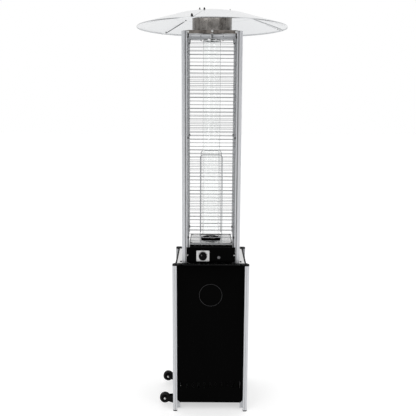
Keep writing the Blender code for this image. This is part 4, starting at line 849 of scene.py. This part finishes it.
def burner():
    """Drum with a perforated gauze top, on a bowl and a venturi."""
    name = "burner"
    top, bottom = high(name).z, low(name).z
    rim = half_size(name)[0]
    profile = [
        (0, top - 0.0005), (rim * 0.70, top - 0.0008), (rim * 0.90, top - 0.0012),
        (rim - 0.0012, top - 0.0022), (rim, top - 0.0050), (rim, bottom + 0.050),
        (rim - 0.003, bottom + 0.047), (0.013, bottom + 0.036), (0.013, bottom + 0.010),
        (0.016, bottom + 0.008), (0.016, bottom), (0, bottom),
    ]
    shape = lathe(profile, FINE)
    hole_rim = [(0.0011, 0), (0.0019, 0.0011), (0.0023, 0.0004), (0.0023, 0)]
    for ring, count in ((0.010, 6), (0.018, 12), (0.026, 18), (0.033, 24)):
        for i in range(count):
            angle = 2 * math.pi * i / count
            place = facing((*polar(ring, angle), top - 0.0012))
            add_lathe(shape, hole_rim, 8, place, closed=True)
    stand_in(name, shape, "dark_burner_steel")


def plate_trim():
    """Dark rail inside the burner plate's edge, painted shadow of the gap behind the plate's lip; a bright
    strip down its side; and a screw at each corner.
    """
    top = high("burner_plate").z
    outer = high("burner_plate").x
    width, tall, step = 0.0035, 0.0026, 0.002  # step: rail behind the plate's edge
    rail = bmesh.new()
    strips = bmesh.new()
    for k in range(4):
        size = (2 * outer - 0.001, width, tall)
        add_block(rail, size, (0, -outer + width / 2 + step, top + tall / 2), quarter_turn(k))
        size = (2 * outer - 0.004, 0.0006, 0.0050)
        add_block(strips, size, (0, -outer - 0.0001, top - 0.0030), quarter_turn(k))
    # the dark rail paints the shadow line behind the plate's lip
    piece("burner_plate_shadow_rail", rail, "dark_screw", edge=0.0005)
    piece("burner_plate_strips", strips, "anodised_aluminium", edge=0.0002)
    reach = outer - width - 0.006
    places = [facing((x * reach, y * reach, top)) for x, y in QUADRANTS]
    fasteners("burner_plate_screws", add_hex_bolt, HEX_BOLT, places, "dark_screw")


def panel_details():
    """Bright screws on the control panel, and small ones on the bezel's corners."""
    front = low("control_panel").y
    half = high("control_panel").x - 0.0055
    places = [facing((side * half, front, SIDE_SCREW_HEIGHT), "-Y") for side in (-1, 1)]
    fasteners("panel_front_screws", add_pan_screw, FRONT_SCREW, places, "zinc_bolt")
    lower, upper, inset = low("knob_bezel"), high("knob_bezel"), 0.006
    across, heights = (lower.x + inset, upper.x - inset), (lower.z + inset, upper.z - inset)
    places = [facing((x, lower.y, z), "-Y") for x in across for z in heights]
    fasteners("bezel_rivets", add_pan_screw, BEZEL_RIVET, places, "zinc_bolt")


# ================================================================ tower
def in_post_channel(centre, normal):
    """The recessed web between the post's square tube and its bead, on both outer sides; its faces take a
    darker finish as painted shade.
    """
    across = max(zip(map(abs, normal), map(abs, centre)))
    return across[0] > 0.9 and abs(across[1] - POST_WEB) < 0.0012 and abs(normal.z) < 0.5


def tower():
    for corner in CORNERS:
        post = refine(f"post_{corner}", edge=0.0005)
        # the channel's faces get the darker grey: painted shade of the channel
        second_finish(post, "groove_trim", in_post_channel)
    for k, side in enumerate(("front", "right", "rear", "left")):
        grille(side, k)
    grille_clips()
    post_brackets()
    flame_tube()


def wire_heights():
    top = high("grille_front").z - 2 * WIRE_RADIUS
    return [top - i * WIRE_PITCH for i in range(WIRE_COUNT)]


def grille(side, k):
    """Round wires across two round rods. The front and rear ones carry the rounded loop."""
    name = f"grille_{side}"
    turn = quarter_turn(k)
    bottom, top = low(name).z, high(name).z
    shape = bmesh.new()
    for z in wire_heights():
        add_rod(shape, (-WIRE_HALF, -WIRE_DEPTH, z), (WIRE_HALF, -WIRE_DEPTH, z), WIRE_RADIUS, 10, turn)
    for x in (-ROD_X, ROD_X):
        add_rod(shape, (x, -ROD_DEPTH, bottom), (x, -ROD_DEPTH, top), ROD_RADIUS, 12, turn)
    if side in ("front", "rear"):
        crown = LOOP_TOP - LOOP_RADIUS
        inner = LOOP_HALF - LOOP_CORNER
        outline = [(LOOP_HALF, bottom), (LOOP_HALF, (bottom + crown) / 2)]
        outline += arc(inner, crown - LOOP_CORNER, LOOP_CORNER, 0, 90, 8)
        outline += arc(-inner, crown - LOOP_CORNER, LOOP_CORNER, 90, 180, 8)
        outline += [(-LOOP_HALF, (bottom + crown) / 2), (-LOOP_HALF, bottom)]
        add_tube(shape, [Vector((x, -LOOP_DEPTH, z)) for x, z in outline], LOOP_RADIUS, 12, turn)
    stand_in(name, shape, "cage_wire")


def grille_clips():
    """Dark clips that hold each grille's rods to the posts, and the bar across the loop's foot."""
    shape = bmesh.new()
    for k in range(4):
        for side in (-1, 1):
            for z in CLIP_HEIGHTS:
                centre = (side * ROD_X, -ROD_DEPTH - 0.0015, z)
                add_block(shape, CLIP_SIZE, centre, quarter_turn(k))
    piece("grille_clips", shape, "dark_screw", edge=0.0005)
    bars = bmesh.new()
    reach, height = LOOP_HALF + 0.003, CLIP_HEIGHTS[0] + 0.018
    depth = -LOOP_DEPTH + LOOP_RADIUS - 0.0038
    for k in (0, 2):
        add_rod(bars, (-reach, depth, height), (reach, depth, height), ROD_RADIUS, 10, quarter_turn(k))
    piece("loop_bars", bars, "dark_screw")


def post_brackets():
    """Angle brackets that bolt the posts' feet to the deck."""
    shape = bmesh.new()
    deck = high("deck_plate").z
    inside = high("post_front_right").x - 0.0175
    start, across = inside - 0.0005, inside - 0.006
    wall, width = BRACKET_WALL, 0.010
    for x, y in QUADRANTS:
        face = Matrix.Diagonal((x, y, 1, 1))
        add_block(shape, (wall, width, 0.030), (start - wall / 2, across, deck + 0.0155), face)
        add_block(shape, (0.014, width, wall), (start - 0.007, across, deck + 0.0012), face)
    piece("post_brackets", shape, "zinc_bolt", edge=0.0003)


def flame_tube():
    """Glass tube with eased ends, in a black seal."""
    name = "glass_tube"
    bottom, top = low(name).z, high(name).z
    outer, inner = high(name).x, high(name).x - GLASS_WALL
    lip = 0.0009
    profile = [
        (inner, top - lip), (inner + lip, top), (outer - lip, top), (outer, top - lip),
        (outer, bottom + lip), (outer - lip, bottom), (inner + lip, bottom), (inner, bottom + lip),
    ]
    stand_in(name, lathe(profile, FINE, closed=True), "borosilicate_glass")
    seal = "tube_seal"
    base, rise, wide = low(seal).z, high(seal).z, high(seal).x
    ring = [
        (SEAL_INNER, base + 0.0030), (SEAL_GROOVE, base + 0.0030), (SEAL_GROOVE, rise - 0.0008),
        (0.0510, rise), (wide - 0.0020, rise), (wide - 0.0006, rise - 0.0008),
        (wide, rise - 0.0025), (wide, base), (SEAL_INNER, base),
    ]
    stand_in(seal, lathe(ring, FINE, closed=True), "seal_silicone")
    tube_holder()


def tube_holder():
    """Band round the glass with four arms up to the crown, and two dark pads at each arm."""
    name = "tube_holder"
    refine(name, "stainless_sheet", edge=0.0004)
    shape = bmesh.new()
    for k in range(4):
        for tall, rise in ((0.0050, 0.0030), (0.0060, 0.0270)):
            centre = (0, -HOLDER_PAD_REACH, low(name).z + rise)
            add_block(shape, (0.011, 0.0025, tall), centre, quarter_turn(k))
    piece("holder_pads", shape, "dark_screw", edge=0.0006)


# ================================================================ crown and reflector
def faces_inwards(centre, normal):
    return normal.z < -0.9 or (abs(normal.z) < 0.3 and centre.xy.dot(normal.xy) < 0)


def crown():
    """Plate with rails, bolts along the rails, and a dark tab under each end."""
    plate = refine("crown_plate", edge=0.0009)
    second_finish(plate, "anodised_aluminium", faces_inwards)
    bottom, top = low("crown_plate").z, high("crown_plate").z
    face = high("crown_plate").y
    bolts = bmesh.new()
    tabs = bmesh.new()
    for k in range(4):
        for x, lift in ((-CROWN_BOLT_REACH, 0.0), (0.0, 0.0035), (CROWN_BOLT_REACH, 0.0)):
            place = facing((x, -face, (bottom + top) / 2 + lift), "-Y")
            add_hex_bolt(bolts, CROWN_BOLT, quarter_turn(k) @ place)
        for side in (-1, 1):
            centre = (side * CROWN_BOLT_REACH, -face + 0.0025, bottom - 0.008)
            add_block(tabs, (0.0065, 0.0015, 0.020), centre, quarter_turn(k))
    piece("crown_bolts", bolts, "zinc_bolt", edge=0.0002)
    piece("crown_tabs", tabs, "dark_screw", edge=0.0003)
    collar()


def collar():
    """Rolled steel drum with rivets at the back."""
    name = "flue_collar"
    bottom, top = low(name).z, high(name).z
    outer = high(name).x
    wall = 0.001
    foot = outer - wall - 0.008
    profile = [
        (foot, bottom), (outer - 0.0015, bottom), (outer, bottom + 0.0015),
        (outer, bottom + 0.0100), (outer - 0.0012, bottom + 0.0115), (outer - 0.0012, top - 0.0060),
        (outer, top - 0.0045), (outer, top - 0.0008), (outer - 0.0008, top),
        (outer - 0.0018, top - 0.0008), (outer - 0.0022, top - 0.0060),
        (outer - 0.0022, bottom + 0.0020), (foot, bottom + 0.0010),
    ]
    obj = stand_in(name, lathe(profile, FINE, closed=True), "flue_steel")
    # the top band gets the darker finish: painted shadow of the hub
    second_finish(obj, "scorched_steel", lambda centre, normal: centre.z > top - 0.0062)
    rivets = bmesh.new()
    for z in (bottom + 0.018, (bottom + top) / 2, top - 0.014):
        for angle in COLLAR_RIVET_ANGLES:
            a = math.radians(angle)
            turn = Matrix.Rotation(a - math.pi / 2, 4, "Z")
            add_pan_screw(rivets, COLLAR_RIVET, turn @ facing((0, outer - 0.0012, z), "+Y"))
    piece("collar_rivets", rivets, "heat_tinted_steel")


def dish_height(radius, apex):
    bend = DISH_SLOPE / DISH_CAP_RADIUS
    if radius < DISH_CAP_RADIUS:
        return apex - bend * radius**2 / 2
    return apex - bend * DISH_CAP_RADIUS**2 / 2 - DISH_SLOPE * (radius - DISH_CAP_RADIUS)


def reflector():
    apex = high("reflector_hub").z + HUB_DROP
    hub(apex)
    for number, centre in enumerate(SEAM_CENTRES, 1):
        segment(number, centre + SEAM_LAP / 2, apex)
        seam_hem(number, centre - SEAM_LAP / 2, apex)
    support(apex)
    reflector_fixings(apex)


def hub(apex):
    """Dished disc with a rolled bead at its edge."""
    radius = high("reflector_hub").x
    radii = [radius * i / 24 for i in range(24)] + [radius - 0.0015]
    top = [(r, dish_height(r, apex) - HUB_DROP) for r in radii]
    edge_height = dish_height(radius, apex) - HUB_DROP
    rim = [(radius, edge_height - 0.0006), (radius, edge_height - 0.0022)]
    bottom = [(r, z - DISH_SHEET) for r, z in reversed(top)]
    stand_in("reflector_hub", lathe(top + rim + bottom, FINE), "reflector_aluminium", sharp=30)


def segment_profile(apex):
    """(radius, height) from the inner edge out to the lip rolled down round the rim."""
    rim = high("reflector_segment_1").x - 0.0002
    straight = rim - LIP_RADIUS
    radii = [SEGMENT_INNER + (straight - SEGMENT_INNER) * i / 30 for i in range(31)]
    profile = [(r, dish_height(r, apex)) for r in radii]
    height = dish_height(straight, apex)
    for i in range(1, 5):
        a = math.radians(90 * i / 4)
        fall = LIP_RADIUS * (1 - math.cos(a))
        profile.append((straight + LIP_RADIUS * math.sin(a), height - fall - 0.0003 * i))
    profile.append((rim, profile[-1][1] - LIP_DROP))
    return profile


def segment(number, start, apex):
    """A third of the dish. Its first edge is joggled down under its neighbour."""
    end = start + 120.0
    columns = [(start - SEAM_LAP, SEAM_DROP), (start + 0.1, SEAM_DROP), (start + 0.5, 0.0)]
    columns += [(start + 0.5 + 1.5 * i, 0.0) for i in range(1, 80)]
    columns = [c for c in columns if c[0] < end - 0.4] + [(end, 0.0)]
    profile = segment_profile(apex)
    shape = bmesh.new()
    sides = []
    for depth in (0.0, DISH_SHEET):
        grid = []
        for degrees, drop in columns:
            c, s = math.cos(math.radians(degrees)), math.sin(math.radians(degrees))
            column = []
            for i, (r, z) in enumerate(profile):
                inward = depth if i > 31 else 0.0
                down = 0.0 if i > 33 else depth
                radius = r - inward - drop * 0.5
                column.append(shape.verts.new((c * radius, s * radius, z - down - drop)))
            grid.append(column)
        sides.append(grid)
    top, bottom = sides
    for a in range(len(columns) - 1):
        for i in range(len(profile) - 1):
            shape.faces.new((top[a][i], top[a][i + 1], top[a + 1][i + 1], top[a + 1][i]))
            shape.faces.new((bottom[a][i + 1], bottom[a][i], bottom[a + 1][i], bottom[a + 1][i + 1]))
        for i in (0, -1):
            shape.faces.new((top[a][i], top[a + 1][i], bottom[a + 1][i], bottom[a][i]))
    for a in (0, -1):
        for i in range(len(profile) - 1):
            shape.faces.new((top[a][i], bottom[a][i], bottom[a][i + 1], top[a][i + 1]))
    name = f"reflector_segment_{number}"
    obj = stand_in(name, shape, "reflector_aluminium", sharp=30)
    turned = profile[-1][0] - LIP_RADIUS * 0.6

    def on_lip(centre, normal):
        return centre.xy.length > turned and normal.xy.length > 0.4

    # the rolled lip gets the darker finish: painted dark reflection
    second_finish(obj, "rim_trim", on_lip)


def seam_hem(number, degrees, apex):
    """Folded stiffening edge under each seam: an upright face, and a flank that runs back to the sheet."""
    c, s = math.cos(math.radians(degrees)), math.sin(math.radians(degrees))
    ahead = Vector((-s, c, 0))
    steps = 12
    shape = bmesh.new()
    rows = []
    for i in range(steps + 1):
        r = HEM_START + (HEM_END - HEM_START) * i / steps
        ends = min(1.0, 0.25 + i / 2, 0.25 + (steps - i) / 2)
        z = dish_height(r, apex) - SEAM_DROP - DISH_SHEET - 0.0001
        spot = Vector((c * r, s * r, z))
        down = Vector((0, 0, -HEM * ends))
        rows.append([shape.verts.new(p) for p in (spot, spot + down, spot - ahead * HEM_FLANK)])
    for first, second in zip(rows, rows[1:]):
        for k in range(3):
            n = (k + 1) % 3
            shape.faces.new((first[k], first[n], second[n], second[k]))
    shape.faces.new(rows[0][::-1])
    shape.faces.new(rows[-1])
    finish = "reflector_aluminium"
    obj = piece(f"seam_hem_{number}", shape, finish, sharp=20)
    # the upright face gets the dark finish: painted shadow of the gap between the sheets
    second_finish(obj, "seam_trim", lambda centre, normal: normal.dot(ahead) > 0.5)


def support(apex):
    """Ring on the collar's rim, with a shoulder and a threaded stud at each hub fixing."""
    name = "reflector_support"
    base, top, outer = low(name).z, high(name).z - 0.0003, high(name).x
    ring = [
        (SUPPORT_INNER, base + SUPPORT_SHEET), (SUPPORT_INNER + 0.0006, base), (outer, base),
        (outer, base + SUPPORT_SHEET - 0.0006), (outer - 0.0006, base + SUPPORT_SHEET),
    ]
    shape = lathe(ring, FINE, closed=True)
    shoulder = dish_height(STUD_CIRCLE + 0.006, apex) - HUB_DROP - DISH_SHEET - 0.0006
    root, step = base + SUPPORT_SHEET * 0.5, 0.0060
    for degrees in STUD_ANGLES:
        place = facing((*polar(STUD_CIRCLE, math.radians(degrees)), 0))
        thread = [(0, top), (0.0022, top), (0.0028, top - 0.0008)]
        for i in range(9):
            z = top - 0.0012 - i * 0.0010
            thread += [(0.0030, z), (0.0026, z - 0.0005)]
        body = [(0.0028, shoulder), (step, shoulder), (step, root), (0, root)]
        add_lathe(shape, thread + body, SMALL, place)
    stand_in(name, shape, "zinc_bolt")


def on_dish(radius, degrees, apex, drop=0.0):
    """A placement on the dish's upper face, with local Z along its normal."""
    a = math.radians(degrees)
    slope = min(DISH_SLOPE, DISH_SLOPE * radius / DISH_CAP_RADIUS)
    spot = (*polar(radius, a), dish_height(radius, apex) - drop)
    tilt = Matrix.Rotation(a, 4, "Z") @ Matrix.Rotation(math.atan(slope), 4, "Y")
    return Matrix.Translation(spot) @ tilt


def reflector_fixings(apex):
    """Thumb nuts on the seams and over the studs, with the screws' heads underneath."""
    nuts = bmesh.new()
    over = Matrix.Rotation(math.pi, 4, "X")
    rim, inner = SEAM_NUT_RADII
    for centre in SEAM_CENTRES:
        add_thumb_nut(nuts, *RIM_NUT, on_dish(rim, centre, apex))
        add_thumb_nut(nuts, *HUB_NUT, on_dish(inner, centre, apex, HUB_DROP))
    for degrees in STUD_ANGLES:
        add_thumb_nut(nuts, *STUD_NUT, on_dish(STUD_CIRCLE, degrees, apex, HUB_DROP))
    piece("reflector_thumb_nuts", nuts, "dark_screw", edge=0.0004)
    heads = bmesh.new()
    under_lap, under_hub = SEAM_DROP + 2 * DISH_SHEET, HUB_DROP + DISH_SHEET
    for centre in SEAM_CENTRES:
        for radius, drop in ((rim, under_lap), (SEAM_HEAD_RADIUS, under_hub), (inner, under_hub)):
            add_pan_screw(heads, DISH_SCREW, on_dish(radius, centre, apex, drop) @ over)
    piece("reflector_screws", heads, "dark_screw", edge=0.0002)


# ================================================================ stage
def camera():
    data = bpy.data.cameras.new("camera")
    data.lens = LENS
    data.sensor_width = 36.0
    data.clip_start = 0.05
    obj = bpy.data.objects.new("camera", data)
    obj.location = CAMERA_PLACE
    turn = Euler((CAMERA_PITCH, 0, CAMERA_YAW)).to_matrix() @ Matrix.Rotation(CAMERA_ROLL, 3, "Z")
    obj.rotation_euler = turn.to_euler()
    bpy.context.scene.collection.objects.link(obj)
    bpy.context.scene.camera = obj


def area_light(name, place, power):
    data = bpy.data.lights.new(name, "AREA")
    data.shape = "RECTANGLE"
    data.size, data.size_y = LIGHT_SIZE
    data.energy = power
    obj = bpy.data.objects.new(name, data)
    obj.location = place
    obj.rotation_euler = (Vector(LIGHT_TARGET) - Vector(place)).to_track_quat("-Z", "Y").to_euler()
    bpy.context.scene.collection.objects.link(obj)


def world():
    """White studio: bright behind and above, dark in front. Plain white where seen, also through glass."""
    made = bpy.data.worlds.new("studio")
    made.use_nodes = True
    tree = made.node_tree
    background = tree.nodes["Background"]
    place = tree.nodes.new("ShaderNodeTexCoord")
    axes = tree.nodes.new("ShaderNodeSeparateXYZ")
    tree.links.new(place.outputs["Generated"], axes.inputs["Vector"])
    across = spread(tree, axes.outputs["Y"], 0.0, 1.0, -1.0, 1.0)
    tone = ramp(tree, across, [(0.18, (0.10, 0.10, 0.10)), (0.50, (0.34, 0.34, 0.35)), (0.68, WHITE)])
    overhead = spread(tree, axes.outputs["Z"], 0.0, 1.0, 0.45, 0.8)
    studio = mixed(tree, overhead, tone, WHITE)
    ray = tree.nodes.new("ShaderNodeLightPath").outputs
    direct = calculated(tree, "MAXIMUM", ray["Is Camera Ray"], ray["Is Transmission Ray"])
    tree.links.new(mixed(tree, direct, studio, WHITE), background.inputs["Color"])
    bpy.context.scene.world = made


def stage():
    """Pale floor, the studio and two soft lights."""
    shape = bmesh.new()
    bmesh.ops.create_grid(shape, x_segments=1, y_segments=1, size=FLOOR_SIZE / 2)
    mesh = bpy.data.meshes.new("floor")
    shape.to_mesh(mesh)
    shape.free()
    floor = bpy.data.objects.new("floor", mesh)
    made, tree, shader = new_material("pale_floor")
    grain = noise(tree, (1, 1, 1), 14.0, 6.0)
    tone = ramp(tree, grain, [(0.3, (0.60, 0.60, 0.60)), (0.7, (0.62, 0.62, 0.62))])
    tree.links.new(tone, shader.inputs["Base Color"])
    set_inputs(shader, Roughness=0.9, Specular_IOR_Level=0.1)
    set_inputs(shader, Emission_Color=(*WHITE, 1.0), Emission_Strength=FLOOR_GLOW)
    mesh.materials.append(made)
    bpy.context.scene.collection.objects.link(floor)
    world()
    area_light("key", KEY_PLACE, KEY_POWER)
    area_light("fill", FILL_PLACE, FILL_POWER)
    bpy.context.scene.view_settings.view_transform = "Standard"


camera()
cabinet()
wheels()
control_section()
tower()
crown()
reflector()
stage()
